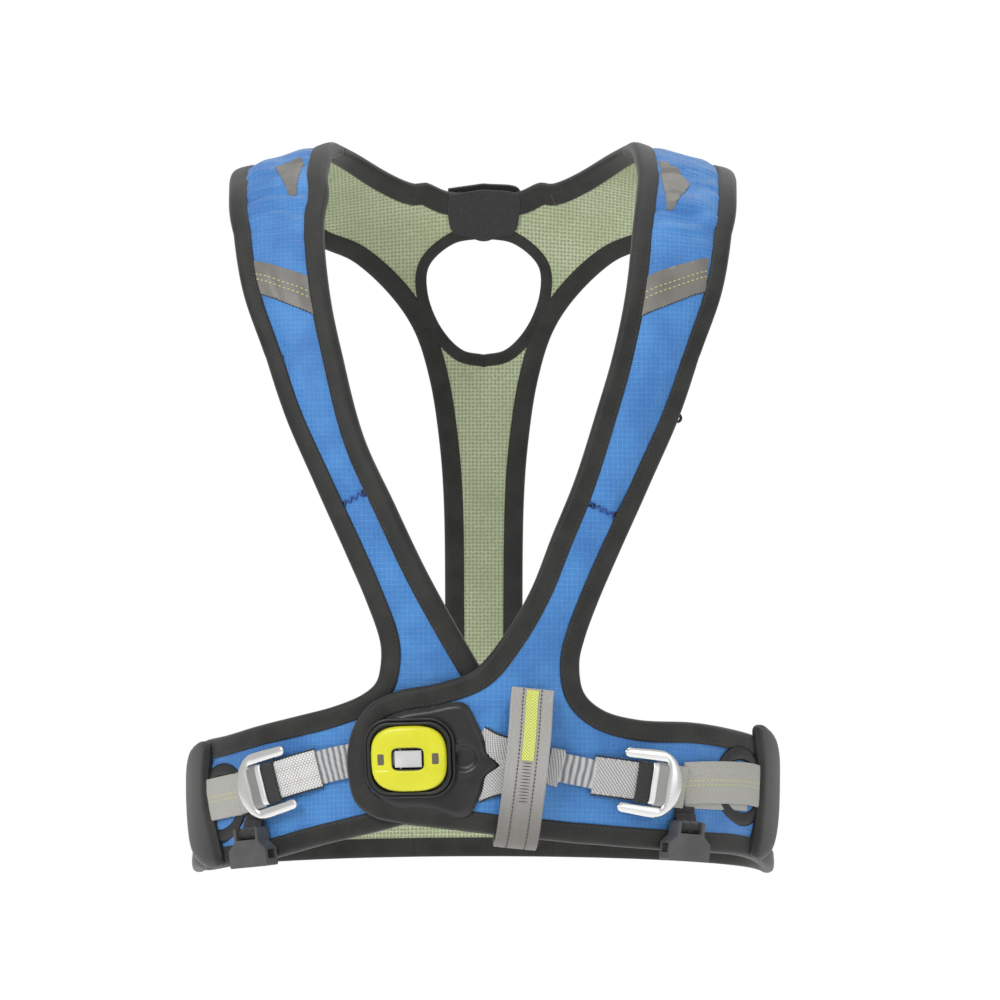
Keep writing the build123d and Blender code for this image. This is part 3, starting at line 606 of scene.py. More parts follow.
def finish_piece(ob, material, where, replaces=(), slot=None):
    """Gives a piece its material and its body: where names the body that it rides, or holds a front and
    two distances from the middle, and then the piece is only baked in place. A slot is worked out but
    not given: no slot means the material's own, an empty one means that the piece has none."""
    if slot is None:
        own = material.name.partition(".")[0]         # Blender numbers a name that the CAD already uses
        slot = SLOTS.get(own, own)
    ob.data.materials.clear()
    ob.data.materials.append(material)
    if replaces:
        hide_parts(*replaces)
    if isinstance(where, tuple):
        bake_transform(ob)
    else:
        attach(ob, where)
    return ob


# ---- outlines -----------------------------------------------------------------------------------
def flip(points):
    return [(-p, *rest) for p, *rest in points]


# The edges on the wearer's left, from the bottom of the back stem or the middle of the back's top edge.
STEM_EDGE = [(24, STEM_END), (24, 790), (25, 701), (28, 662), (34, 624)]
ARM_BACK = [(HALF_CUT, 594), (57, 573), (84, 547)]
ARM_STRAP = [(110, 532), (132, 503), (148, 462), (156, 422), (157, 387), (157, 350), (151, 293), (139, 256),
             (122, 212), (102, 173), (83, 136), (69, 106)]
LEFT_ARM_WING = [(60, 82), (57, 68), (60, 50), (72, 40), (96, 35), (140, 36), (180, 35)]
BACK_TOP = [(-36, 503.5), (-20, 512), (20, 512), (36, 503.5)]
NECK_BACK = [(HALF_CUT, 503), (60, 492), (76, 474)]
LEFT_NECK = [(88, 452), (93, 425), (95, 402), (96, 383), (95, 366), (93, 341), (88, 290), (80, 250),
             (69, 214), (56, 175), (42, 142), (29, 111), (13, 84), (-4, 63), (-25, 55), (-48, 51),
             (-64, 44), (-74, 31), (-78, 14), (-77, 0), (-73, -13), (-62, -22), (-46, -26), (-25, -29),
             (-2, -32), (22, -35), (50, -38), (58, -38.5), (70, -39), (96, -40), (140, -40), (180, -39)]
RIGHT_ARM_WING = [(60, 80), (60, 66), (63, 56), (72, 49), (90, 43), (114, 39), (150, 35), (185, 32)]
RIGHT_NECK = [(88, 452), (93, 425), (95, 402), (96, 383), (95, 366), (98, 341), (94, 290), (86, 250),
              (72, 200), (53, 161), (35, 124), (20, 96), (3, 66), (-10, 44), (-10, 10), (12, -16),
              (48, -28), (100, -38), (145, -45), (180, -46)]
HOLE_SIDE = [(0, 538), (20, 540), (36, 553), (37, 570), (28, 592), (14, 606), (0, 609)]



def level(q):
    """Points of a belt's edge at height q, round the wearer's side."""
    return [(p, q) for p in (260, 340, 420, BELT_END)]


left_stem, left_arm_back, left_arm_front, left_arm_side = runs(
    STEM_EDGE, ARM_BACK, ARM_STRAP + LEFT_ARM_WING, [(WING_END, 34)] + level(BELT_TOP))
top_edge, left_neck_back, left_neck_front, left_neck_side = runs(
    BACK_TOP, NECK_BACK, LEFT_NECK, [(WING_END, -40)] + level(BELT_HEM))
right_stem, right_arm_back, right_arm_front, right_arm_side = runs(*map(flip, (
    STEM_EDGE, ARM_BACK, ARM_STRAP + RIGHT_ARM_WING, [(WING_END, 32)] + level(BELT_TOP))))
_, right_neck_back, right_neck_front, right_neck_side = runs(*map(flip, (
    BACK_TOP, NECK_BACK, RIGHT_NECK, [(WING_END, -46)] + level(BELT_HEM))))
hole_half = smooth(HOLE_SIDE)
hole_loop = np.vstack([hole_half[:-1], (hole_half*(-1, 1))[:0:-1]])
belt_top_back = np.array([(BELT_END, BELT_TOP), (2*MID_BACK - BELT_END, BELT_TOP)])
belt_hem_back = np.array([(BELT_END, BELT_HEM), (2*MID_BACK - BELT_END, BELT_HEM)])

BLEND_SHOULDER = (0.047, 0.088)     # distances from the middle that go with a front; a piece given them is baked in place
BLEND_BELT = (0.047, 0.150)
LEFT_BACK, LEFT_SIDE = (LEFT, BLEND_SHOULDER), (LEFT, BLEND_BELT)
RIGHT_BACK, RIGHT_SIDE = ((RIGHT, (-start, -end)) for start, end in (BLEND_SHOULDER, BLEND_BELT))
SEAMS = {"left": ((62, 162), (81, 154)), "right": ((-87, 160), (-69, 168))}


# ---- heights of the padded fronts ---------------------------------------------------------------
def lift(p, q):
    """How far the left front stands out where it covers the right front."""
    return FLAP_LIFT*(1 - ease((p - 5)/45))*(1 - ease((q - 110)/60))


def thinning(p):
    """Layers shrink together towards the flap."""
    return FLAP_THICK/COVER_TOP + (1 - FLAP_THICK/COVER_TOP)*ease((p + 5)/45)


def wrinkles(p, q, depth, side):
    """Folds of the cover: across the shoulders, gathered above the seams, slack on the wings."""
    turn = 1 if side == "left" else -1
    low = 0.55*noise(p/26, q/26, 1) + 0.35*noise(p/11, q/11, 2)
    shoulder = ease((q - 318)/18)*(1 - ease((q - 405)/30))
    wave = noise(q/4.2 + 0.8*noise(p/16, q/30, 3) - turn*p/60, p/26, 4)
    fold = 2.3*shoulder*wave
    mid = ease((q - 180)/40)*(1 - ease((q - 300)/30))
    fold = fold + 0.5*mid*noise(p/6.5 - turn*q/22, q/34, 5)
    for (pa, qa), (pb, qb) in (SEAMS[side],) if side in SEAMS else ():
        a, b = np.array((pa, qa)), np.array((pb, qb))
        way = (b - a)/np.linalg.norm(b - a)
        s = (p - pa)*way[0] + (q - qa)*way[1]
        d = -(p - pa)*way[1] + (q - qa)*way[0]
        span = ease((s + 14)/6)*(1 - ease((s - np.linalg.norm(b - a) - 8)/6))
        gather = np.exp(-np.maximum(d, 0)/16)*(d > -1) + 0.6*np.exp(-np.maximum(-d, 0)/9)*(d < 1)
        fold = fold + span*gather*1.5*noise(s/2.7 + d/40, d/26, 6) - 1.9*span*np.exp(-(d/1.6)**2)
    wing = 1 - ease((q - 40)/40)
    fold = fold + 0.6*wing*noise(p/15 + q/30, q/17 - p/45, 8)
    return (low + fold)*depth


def front_height(side, lines):
    """The cover's height at (p, q) on one side, given its bound edges."""
    def height(p, q):
        p, q = np.asarray(p, float), np.asarray(q, float)
        pts = np.stack([p.ravel(), q.ravel()], 1)
        away = line_distance(pts, lines).reshape(p.shape)
        stand = ease((away - 7)/13)
        full = PAD_WING + (PAD_STRAP - PAD_WING)*ease((q - 60)/50)
        n = PAD_EDGE + (full - PAD_EDGE)*stand + wrinkles(p, q, ease((away - 8)/7), side)
        if side == "left":
            n = n*thinning(p) + lift(p, q)
        return n
    return height


def floor_height(side, base):
    """The height of a layer that stands base above the form."""
    def height(p, q):
        if side == "left":
            return lift(p, q) + base*thinning(p)
        return np.full(np.shape(p), base)
    return height


CHEST_GAP, BELT_GAP = 2.6, 3.4          # spacing of the covers' meshes
LEFT_BOUND = [left_arm_back, left_arm_front, left_arm_side, left_neck_back, left_neck_front, left_neck_side]
RIGHT_BOUND = [right_arm_back, right_arm_front, right_arm_side, right_neck_back, right_neck_front,
               right_neck_side]
STEM_BOUND = [left_stem, right_stem, top_edge, ringed(hole_loop)]
HEIGHT = {"left": front_height("left", LEFT_BOUND), "right": front_height("right", RIGHT_BOUND)}


def soft_panel(name, side, edges, bound, where, swaps=((), ()), spacing=CHEST_GAP, holes=()):
    """A padded cover and its lining, inside edges; bound lists the edges that carry binding."""
    pq, tris = region(edges, spacing, holes)
    cover = slab(f"{name}_padded_cover", pq, tris, floor_height(side, PAD_FLOOR)(*pq.T),
                 front_height(side, bound)(*pq.T))
    finish_piece(cover, BLUE, where, swaps[0])
    pq, tris = region(edges, spacing*1.6, holes)
    sag = 0.25*(1 + noise(*(pq.T/20)))
    inner = slab(f"{name}_inner_lining", pq, tris, floor_height(side, 0.0)(*pq.T) - sag,
                 floor_height(side, LINING_TOP)(*pq.T))
    finish_piece(inner, OLIVE, where, swaps[1])


def close(*lines):
    """Lines laid end to end, joined by straight edges where they don't meet."""
    out = []
    for k, line in enumerate(lines):
        out.append(line)
        after = lines[(k + 1) % len(lines)]
        if np.linalg.norm(line[-1] - after[0]) > 1e-6:
            out.append(np.array([line[-1], after[0]]))
    return out


def build_panels():
    left, right, stem = LEFT_BOUND, RIGHT_BOUND, STEM_BOUND
    soft_panel("left_chest", "left", close(left_neck_front, left_arm_front[::-1]), left, LEFT,
               (("left_cover", "left_foam"), ("left_lining",)))
    soft_panel("left_shoulder", "left", close(left_neck_back, left_arm_back[::-1]), left + stem, LEFT_BACK)
    soft_panel("left_belt", "left", close(left_neck_side, left_arm_side[::-1]), left, LEFT_SIDE,
               spacing=BELT_GAP)
    soft_panel("right_chest", "right", close(right_arm_front, right_neck_front[::-1]), right, RIGHT,
               (("right_cover", "right_foam"), ("right_lining",)))
    soft_panel("right_shoulder", "right", close(right_arm_back, right_neck_back[::-1]), right + stem,
               RIGHT_BACK)
    soft_panel("right_belt", "right", close(right_arm_side, right_neck_side[::-1]), right, RIGHT_SIDE,
               spacing=BELT_GAP)
    soft_panel("back", "back", close(neckline(), left_stem[::-1], right_stem), stem + left + right, BACK,
               (("back_cover", "back_foam"), ("back_lining",)), holes=[hole_loop])
    soft_panel("back_belt", "back", close(belt_hem_back, belt_top_back[::-1]), [belt_top_back, belt_hem_back],
               BACK, spacing=BELT_GAP)


# ---- bindings -----------------------------------------------------------------------------------
def binding_section(width):
    """(into the panel, off the face, on the front) round a folded tape, from the front leg to the back."""
    front = [(width, 0.05), (width + 0.15, 0.45), (width - 0.5, 0.85), (width*0.80, 1.12), (width*0.60, 1.35),
             (width*0.42, 1.42), (width*0.25, 1.30), (width*0.12, 1.00), (0.3, 0.45), (-0.55, -0.7),
             (-0.95, -2.0)]
    back = [(-0.95, -1.2), (-0.6, 0.4), (0.6, 0.95), (width*0.3, 1.0), (width*0.6, 0.95), (width*0.92, 0.85),
            (width, 0.5), (width - 0.3, 0.1), (width*0.5, 0.12), (0.5, 0.12)]
    inner = [(0.5, 0.02), (width*0.5, 0.02)]
    return [(*v, True) for v in front] + [(*v, False) for v in back] + [(*v, True) for v in inner]


OVERLAP = 2.1            # how far two tapes run into each other where they meet
SEAM_INSET = 1.6         # from a tape's free edge to its stitches


def binding(name, line, side, into, where, replaces=(), width=BINDING_WIDTH):
    """A tape folded over the edge of a panel: a rounded front leg, the fold, and a flat back leg. The panel
    is on the line's left where into is 1, on its right where into is -1."""
    line = resample(line, 2.4)
    way = unit(np.gradient(line, axis=0))
    line[0] -= way[0]*OVERLAP
    line[-1] += way[-1]*OVERLAP
    inward = into*np.stack([-way[:, 1], way[:, 0]], 1)
    back_face = floor_height(side, 0.0)
    front_face = floor_height(side, PAD_EDGE + 0.55)
    rings = []
    for w, off, front in binding_section(width):
        pq = line + inward*w
        rings.append(at(*pq.T, front_face(*pq.T) + off if front else back_face(*pq.T) - off))
    points = np.stack(rings, 1)
    s = along(at(*line.T))
    girth = np.concatenate([[0], np.cumsum(np.linalg.norm(np.diff(points[len(points)//2], axis=0), axis=1))])
    lay = np.stack([np.broadcast_to(s[:, None], points.shape[:2]),
                    np.broadcast_to(girth[None], points.shape[:2])], -1)
    ob = outward_faces(mesh_object(name, points, tube_faces(*points.shape[:2]), lay))
    finish_piece(ob, BLACK_TAPE, where, replaces)
    seam = line + inward*(width - SEAM_INSET)
    stitch_row(name + "_stitching", seam, front_face(*seam.T) + 0.95, BLACK_THREAD, where)


def stitch_row(name, line, n, material, where, pitch=3.2, length=2.3, radius=0.24):
    """Thread stitches laid end to end along a line on the form."""
    stitches_along(name, at(*line.T, n), outward(*line.T), material, where, pitch, length, radius, 0.6)


def stitches_along(name, points, up, material, where, pitch=2.3, length=1.6, radius=0.34, first=0.3):
    """Thread stitches laid end to end along points in metres; the first one starts at first millimetres."""
    s = along(points)/MM
    verts, faces = [], []
    for a in np.arange(first, s[-1] - length, pitch):
        start, end = (pick(points, s, v) for v in (a, a + length))
        add_stitch(verts, faces, start, end, pick(up, s, a), radius)
    finish_piece(mesh_object(name, verts, faces), material, where, slot="")


def pick(rows, s, value):
    """The row at value, where the rows are at s."""
    return np.array([np.interp(value, s, c) for c in rows.T])


STITCH_PROFILE = ((0.0, 0.25), (0.18, 0.9), (0.5, 1.15), (0.82, 0.9), (1.0, 0.25))


def add_stitch(verts, faces, a, b, up, radius, sides=6):
    """One short plump thread from a to b."""
    way = unit(b - a)
    side = unit(np.cross(way, up))
    up = np.cross(side, way)
    start = len(verts)
    for t, r in STITCH_PROFILE:
        for k in range(sides):
            angle = 2*math.pi*k/sides
            verts.append(a + (b - a)*t + (math.cos(angle)*side + math.sin(angle)*up)*r*radius*MM)
    rows = len(STITCH_PROFILE)
    faces += [tuple(start + i for i in f) for f in tube_faces(rows, sides)]


def build_bindings():
    for side, turn, edges, (behind, ahead, beside), neck_swap in (
            ("left", 1, LEFT_BOUND, (LEFT_BACK, LEFT, LEFT_SIDE), "left_edge_binding"),
            ("right", -1, RIGHT_BOUND, (RIGHT_BACK, RIGHT, RIGHT_SIDE), "right_neck_binding")):
        for label, belt_label, into, (back, front, belt_edge), swap in (
                ("arm", "belt_top", -turn, edges[:3], f"{side}_arm_binding"),
                ("neck", "belt_hem", turn, edges[3:], neck_swap)):
            binding(f"{side}_{label}_edge", front, side, into, ahead, (swap,))
            binding(f"{side}_{label}_edge_back", back, side, into, behind)
            binding(f"{side}_{belt_label}_edge", belt_edge, side, into, beside)
    binding("back_neck_edge", neckline(), "back", 1, BACK, ("back_binding",))
    binding("left_stem_edge", left_stem, "back", -1, BACK)
    binding("right_stem_edge", right_stem, "back", 1, BACK)
    binding("left_hole_edge", hole_half, "back", -1, BACK, width=6.5)
    binding("right_hole_edge", hole_half*(-1, 1), "back", 1, BACK, width=6.5)
    binding("back_belt_top_edge", belt_top_back, "back", -1, BACK)
    binding("back_belt_hem_edge", belt_hem_back, "back", 1, BACK)


def neckline():
    """The neckline across the back panel, from cut to cut."""
    return np.vstack([right_neck_back[:1], top_edge[(top_edge[:, 0] > -HALF_CUT)], left_neck_back[:1]])


# ---- webbing ------------------------------------------------------------------------------------
def coarse_weave(slant, pitch):
    """How proud the yarns of a coarse webbing stand, 0 to 1, at (s, w) millimetres."""
    def value(s, w):
        ridge = 0.5 + 0.5*np.sin(2*math.pi*(s + slant*w)/pitch)
        return ridge*(0.62 + 0.38*np.sin(2*math.pi*(w - 0.35*s)/1.15))
    return value


LOZENGE_LENGTH, LOZENGE_ROW = 2.1, 1.4


def lozenges(s, w):
    """Rows of staggered oval yarn floats."""
    lane = np.floor(w/LOZENGE_ROW)
    oval = np.abs(np.sin(math.pi*(s/LOZENGE_LENGTH + 0.5*(lane % 2))))**0.7
    return oval*np.abs(np.sin(math.pi*w/LOZENGE_ROW))**0.55


def elastic_ribs(pitch):
    """Ribs across a gathered elastic webbing, 0 to 1."""
    def value(s, w):
        crest = 0.5 + 0.5*np.sin(2*math.pi*s/pitch + 0.22*np.sin(w*0.45 + s*0.2))
        return (0.22 + 0.78*crest)*(0.88 + 0.12*np.sin(w*5.3 + s))
    return value


def chevrons(s, w):
    return 0.5 + 0.5*np.sin(2*math.pi*(s + 1.1*np.abs(w))/1.9)


def strap_piece(name, route, width, thick, material, where, pattern=None, depth=0.0, step=1.5, cols=9,
                replaces=()):
    """A webbing on the form; a pattern shapes its yarns and paints them."""
    centre, across, up = strap_lines(route, step)
    ob = ribbon(name, centre + up*thick/2*MM, across, up, width, thick, pattern, depth, cols)
    finish_piece(ob, material, where, replaces)


def selvedge(name, route, width, thick, where):
    """Black saw-tooth edges along both sides of a coarse webbing."""
    centre, across, up = strap_lines(route, 0.45)
    s = along(centre)/MM
    tooth = 0.55*np.abs(((s/2.1) % 1) - 0.5)*2
    for label, sign in (("lower", -1), ("upper", 1)):
        edge = centre + across*(sign*(width/2 + 0.2 + tooth[:, None]*0.5))*MM + up*thick*0.45*MM
        ob = ribbon(f"{name}_{label}_selvedge", edge, across, up, 1.3 + tooth, thick*0.8)
        finish_piece(ob, BLACK_TAPE, where, slot="black_webbing")


def bent_lines(m, profile, step, x=0.0):
    """Centre, across and up of a webbing that bends in the y-z plane of a placement, its width along x."""
    line = resample(smooth(profile, 12), step)
    way = unit(np.gradient(line, axis=0))
    centre = moved(np.stack([np.full(len(line), x), *line.T], 1), m)
    across = np.broadcast_to(m[:3, 0], centre.shape)
    up = np.stack([np.zeros(len(line)), -way[:, 1], way[:, 0]], 1) @ m[:3, :3].T
    return centre, across, -up if np.dot(up[0], m[:3, 2]) < 0 else up


def local_ribbon(name, m, profile, width, thick, material, where, pattern=None, depth=0.0, step=0.6, cols=9,
                 x=0.0, replaces=()):
    """A webbing along bent_lines, which are its result."""
    lines = bent_lines(m, profile, step, x)
    ob = ribbon(name, *lines, width, thick, pattern, depth, cols)
    finish_piece(ob, material, where, replaces)
    return lines


def cross_ribbon(name, m, profile, step, width, thick, side=1):
    """A webbing that bends in the x-z plane of a placement, its width along y."""
    line = resample(smooth(profile), step)
    way = unit(np.gradient(line, axis=0))
    flat = np.zeros(len(line))
    centre = moved(np.column_stack([line[:, 0], flat, line[:, 1]]), m)
    up = np.column_stack([-way[:, 1], flat, way[:, 0]])*side @ m[:3, :3].T
    return ribbon(name, centre, np.broadcast_to(m[:3, 1], centre.shape), up, width, thick)


BELT_WEB, BELT_THICK, FRONT_WEB = 24.0, 1.5, 20.0
LEFT_BELT = [(128, 0, 6.7), (150, 2, 7.4), (190, 4, 7.5), (213, 3.4, 7.2)]
LEFT_BELT_SIDE = [(222, 3, 6.9), (260, -3, 6.3), (340, -5, 6.3), (420, -5, 6.3), (BELT_END, -5, 6.3)]
RIGHT_BELT = [(-164, -4, 6.8), (-178, -4.5, 7.5), (-195, -5, 7.5), (-213, -5, 7.2)]
RIGHT_BELT_SIDE = [(-222, -5, 6.9)] + [(-p, -5, 6.3) for p in (260, 340, 420, BELT_END)]
BACK_BELT = [(p, -5, 6.3) for p in (BELT_END, 520, MID_BACK, 573, 2*MID_BACK - BELT_END)]
BELT_TAIL = [(130, -3.2, 6.1), (150, -2.6, 6.2), (172, -1.6, 6.2), (192, -0.6, 6.2)]
ELASTIC_LEFT = [(40.5, 7, 8.0), (46, 6, 8.1), (54, 4.6, 8.2), (62, 3.2, 8.2), (67, 2.2, 8.0)]
ELASTIC_RIGHT = [(-66, 12.0, 7.4), (-76, 11.3, 7.4), (-88, 9.8, 7.2), (-100, 7.6, 7.2)]
CHEST_V = {"upper": [(-3, 21, 3.2), (4, 17, 6.2), (14, 13.5, 6.7), (25, 11.0, 7.0), (36, 9.0, 7.1)],
           "lower": [(-5, -4.5, 3.2), (3, -1.0, 6.2), (12, 1.6, 6.7), (25, 5.0, 7.0), (36, 6.2, 7.1)]}
CHEST_FOLD = [(38, 6.8, 8.2), (42, 6.2, 8.4), (45.5, 5.4, 8.2)]
LEFT_LOOP = [(65, 2.2, 7.6), (76, 1.3, 8.2), (87, 0.4, 9.0), (95.5, -0.3, 9.9)]
RIGHT_LOOP = [(-99, 7.8, 7.4), (-109, 6.0, 8.0), (-119, 4.0, 8.6), (-130, 1.8, 9.6)]


def belt(side, front_route, side_route, blend):
    """Belt webbing through the guide ring, in a rigid front run and a side run baked in place."""
    parts = [part[::4].tolist() + [part[-1].tolist()] for part in runs(front_route, side_route)]
    for label, part, where, swap in (("front", parts[0], f"{side}_front", (f"{side}_belt_webbing",)),
                                     ("side", parts[1], blend, ())):
        strap_piece(f"{side}_belt_strap_{label}", part, BELT_WEB, BELT_THICK, GREY_WEB, where, step=2.0,
                    replaces=swap)


def build_webbing():
    belt("left", LEFT_BELT, LEFT_BELT_SIDE, LEFT_SIDE)
    belt("right", RIGHT_BELT, RIGHT_BELT_SIDE, RIGHT_SIDE)
    strap_piece("left_belt_tail", BELT_TAIL, 22.5, 0.9, GREY_WEB, LEFT)
    strap_piece("back_belt_strap", BACK_BELT, BELT_WEB, BELT_THICK, GREY_WEB, BACK,
                replaces=("back_belt_webbing",))
    strap_piece("left_elastic", ELASTIC_LEFT, 15.8, 1.6, ELASTIC, LEFT, elastic_ribs(4.1), 0.55, step=0.4,
                cols=13, replaces=("left_chest_webbing",))
    for label, route in CHEST_V.items():
        route = [(p, q, float(lift(p, q)) + n*float(thinning(p)) + 1.0) for p, q, n in route]
        strap_piece(f"left_chest_{label}_webbing", route, 18.5, 1.3, WHITE_YARN, LEFT,
                    coarse_weave(0.55, 1.7), 0.4, step=0.4, cols=46)
        selvedge(f"left_chest_{label}", route, 18.5, 1.3, LEFT)
    strap_piece("left_chest_fold", CHEST_FOLD, 20.5, 1.9, WHITE_YARN, LEFT, coarse_weave(0.3, 1.6), 0.4,
                step=0.4, cols=40)
    for side, route, pattern in (("left", LEFT_LOOP, coarse_weave(0.9, 2.1)),
                                 ("right", RIGHT_LOOP, lozenges)):
        strap_piece(f"{side}_loop_webbing", route, FRONT_WEB, 2.4, WHITE_YARN, f"{side}_front", pattern, 0.55,
                    step=0.35, cols=56, replaces=(f"{side}_webbing_loop",))
        selvedge(f"{side}_loop", route, FRONT_WEB, 2.2, f"{side}_front")
    strap_piece("right_elastic_webbing", ELASTIC_RIGHT, 18.5, 1.6, ELASTIC, RIGHT, elastic_ribs(3.7), 0.6,
                step=0.4, cols=13, replaces=("right_elastic",))


# ---- tapes and marks sewn on the cover ----------------------------------------------------------
TAPES = {"left": [(141, 315.5), (120, 307.5), (98.5, 299), (96.5, 273.5), (117, 282), (139.5, 291.5)],
         "right": [(-144, 314), (-126, 307.5), (-107, 300.5), (-102, 274.5), (-121, 282.5), (-140, 290.5)]}
PATCHES = {"left": [(107.5, 402), (112, 400.5), (127, 381), (126, 377), (117, 352), (112.5, 351.5)],
           "right": [(-127, 404), (-111, 406), (-110, 402), (-114, 366), (-118.5, 366), (-127, 400)]}
SEAM_TEETH, SEAM_HALF = 9, 1.7          # the zigzag over each lower seam


def reflective_patch(name, side, outline, replaces):
    """A flat piece of grey tape sewn on the cover, following its folds."""
    loop = np.array(outline, float)
    pq, tris = region([np.array(edge) for edge in zip(loop, np.roll(loop, -1, axis=0))], 1.6)
    base = HEIGHT[side](*pq.T)
    ob = slab(name, pq, tris, base - 0.3, base + 0.12 + 0.4)
    finish_piece(ob, GREY_TAPE, f"{side}_front", (replaces,))


def dashes(name, side, a, b, material, pitch=3.1, length=1.7, radius=0.3, over=0.62):
    line = resample(np.array([a, b], float), 1.0)
    stitch_row(name, line, HEIGHT[side](*line.T) + over, material, f"{side}_front", pitch, length, radius)


def build_tapes():
    for side, loop in TAPES.items():
        reflective_patch(f"{side}_reflective_tape", side, loop, f"{side}_reflective_band")
        top_out, top_in, low_in, low_out = np.array(loop)[[0, 2, 3, 5]]
        for k, share in enumerate((0.42, 0.58)):
            dashes(f"{side}_tape_dashes_{k + 1}", side, top_out + (low_out - top_out)*share,
                   top_in + (low_in - top_in)*share, LIME_THREAD)
        # a near-unbroken row of black stitches that darkens the tape's lower edge
        dashes(f"{side}_tape_lower_dark_line", side, low_out, low_in, BLACK_THREAD, 2.3, 2.1, 0.42, 0.3)
    for side, loop in PATCHES.items():
        reflective_patch(f"{side}_shoulder_tape", side, loop, f"{side}_shoulder_patch")
    for side, ends in SEAMS.items():
        a, b = np.array(ends, float)
        way = (b - a)/np.linalg.norm(b - a)
        off = np.array([-way[1], way[0]])*SEAM_HALF
        line = [a + (b - a)*k/SEAM_TEETH + off*(1 if k % 2 else -1) for k in range(SEAM_TEETH + 1)]
        verts, faces = [], []
        for u, v in zip(line, line[1:]):
            p, q = np.array([u, v]).T
            start, end = at(p, q, HEIGHT[side](p, q) + 0.5)
            add_stitch(verts, faces, start, end, outward(*u), 0.42)
        finish_piece(mesh_object(f"{side}_bar_tack", verts, faces), BLUE_THREAD, f"{side}_front",
                     slot="cover_fabric")


# ---- tether loop --------------------------------------------------------------------------------
LOOP_PROFILE = [(44, 13.4), (36, 14.5), (27, 18.9), (17, 22.8), (6, 24.8), (-8, 24.8), (-24, 22.4),
                (-38, 19.0), (-47, 14.5), (-50.5, 8.0), (-48, 2.6), (-40, 0.9), (-28, 0.9)]
LOOP_WIDTH, LOOP_THICK = 23.5, 2.0
SEAM_OFF, SEAM_END = 5.4, 104         # the seams' distance from the middle, and where they stop
INSERT_END, LADDER_END, RUNG = 44.0, 70.0, 1.9


def build_tether_loop():
    m = place(24, 9, 0, -5)

    def columns(s, w):
        groove = np.exp(-((np.abs(w) - SEAM_OFF)/0.5)**2) + 0.6*np.exp(-((np.abs(w) - 10.4)/0.4)**2)
        ladder = (s > INSERT_END)*(s < LADDER_END)*(np.abs(w) < 4.6)*np.abs(np.sin(math.pi*s/RUNG))
        return 0.35 - groove*0.6 + 0.55*ladder
    centre, across, up = local_ribbon(
        "tether_loop", m, LOOP_PROFILE, LOOP_WIDTH, LOOP_THICK, SATIN, LEFT, columns, 0.55,
        step=0.45, cols=48, replaces=("soft_loop",))
    s = along(centre)/MM
    face = centre + up*(LOOP_THICK/2 + 0.12)*MM
    shown = s < SEAM_END
    for label, w in (("left", -SEAM_OFF), ("right", SEAM_OFF)):
        stitches_along(f"tether_loop_inner_{label}_seam", (face + across*w*MM)[shown], up[shown], GREY_THREAD,
                       LEFT)
    part = (s > 0.6) & (s < INSERT_END)
    insert = ribbon("tether_loop_chevrons", (centre + up*(LOOP_THICK/2 + 0.35)*MM)[part], across[part],
                    up[part], 6.8, 0.5, chevrons, 0.4, 20)
    finish_piece(insert, LIME_YARN, LEFT, ("soft_loop_insert",))
    verts, faces = [], []
    for a in np.arange(INSERT_END + 1, LADDER_END - 1, RUNG):
        middle, rung = pick(face, s, a), pick(across, s, a)*4.2*MM
        add_stitch(verts, faces, middle - rung, middle + rung, pick(up, s, a), 0.42)
    tacks = mesh_object("tether_loop_bar_tacks", verts, faces)
    finish_piece(tacks, GREY_THREAD, LEFT, slot="loop_webbing")


# ---- moulded and stamped pieces -----------------------------------------------------------------
def superellipse(width, height, power, count=96):
    t = np.linspace(0, 2*math.pi, count, endpoint=False)
    c, s = np.cos(t), np.sin(t)
    return np.stack([np.sign(c)*np.abs(c)**(2/power)*width/2, np.sign(s)*np.abs(s)**(2/power)*height/2], 1)


BUCKLE = place(-40, 12.5)
BUTTON_SIZE, BUTTON_TOP, BUTTON_LOW = (45.0, 38.4), 25.8, 20.7
BUTTON_DECK, OVER_EARS, LATCH_PIN_X = 23.4, 24.6, -5.5       # the underside clears the ears of the pin
SPRING_LOW, SPRING_HIGH, SPRING_PITCH, SPRING_RADIUS, SPRING_WIRE = 18.05, 4.7, 1.25, 2.2, 0.28
WINDOW, SIDE_WINDOW, SIDE_WINDOW_X = (19.4, 13.4), (4.6, 7.2), 16.3


def button_piece(name, outline, holes, top, low, roll, spacing, material, replaces=(), hole_roll=0.5):
    """A moulded plate over the buckle: its face falls away in a round at every edge."""
    pts, tris = region([ringed(outline)], spacing, holes)
    drop = 0
    for loop, radius in [(outline, roll)] + [(hole, hole_roll) for hole in holes]:
        away = line_distance(pts, [ringed(loop)])
        drop += radius*(1 - np.sqrt(np.maximum(1 - (1 - np.minimum(away/radius, 1))**2, 0)))
    upper = np.column_stack([pts, top(*pts.T) - drop])
    lower = np.column_stack([pts, np.broadcast_to(low(*pts.T) if callable(low) else low, len(pts))])
    ob = closed_sheet(name, moved(np.vstack([upper, lower]), BUCKLE), tris, pts*MM, crease_top=False)
    finish_piece(ob, material, "release_button", replaces)


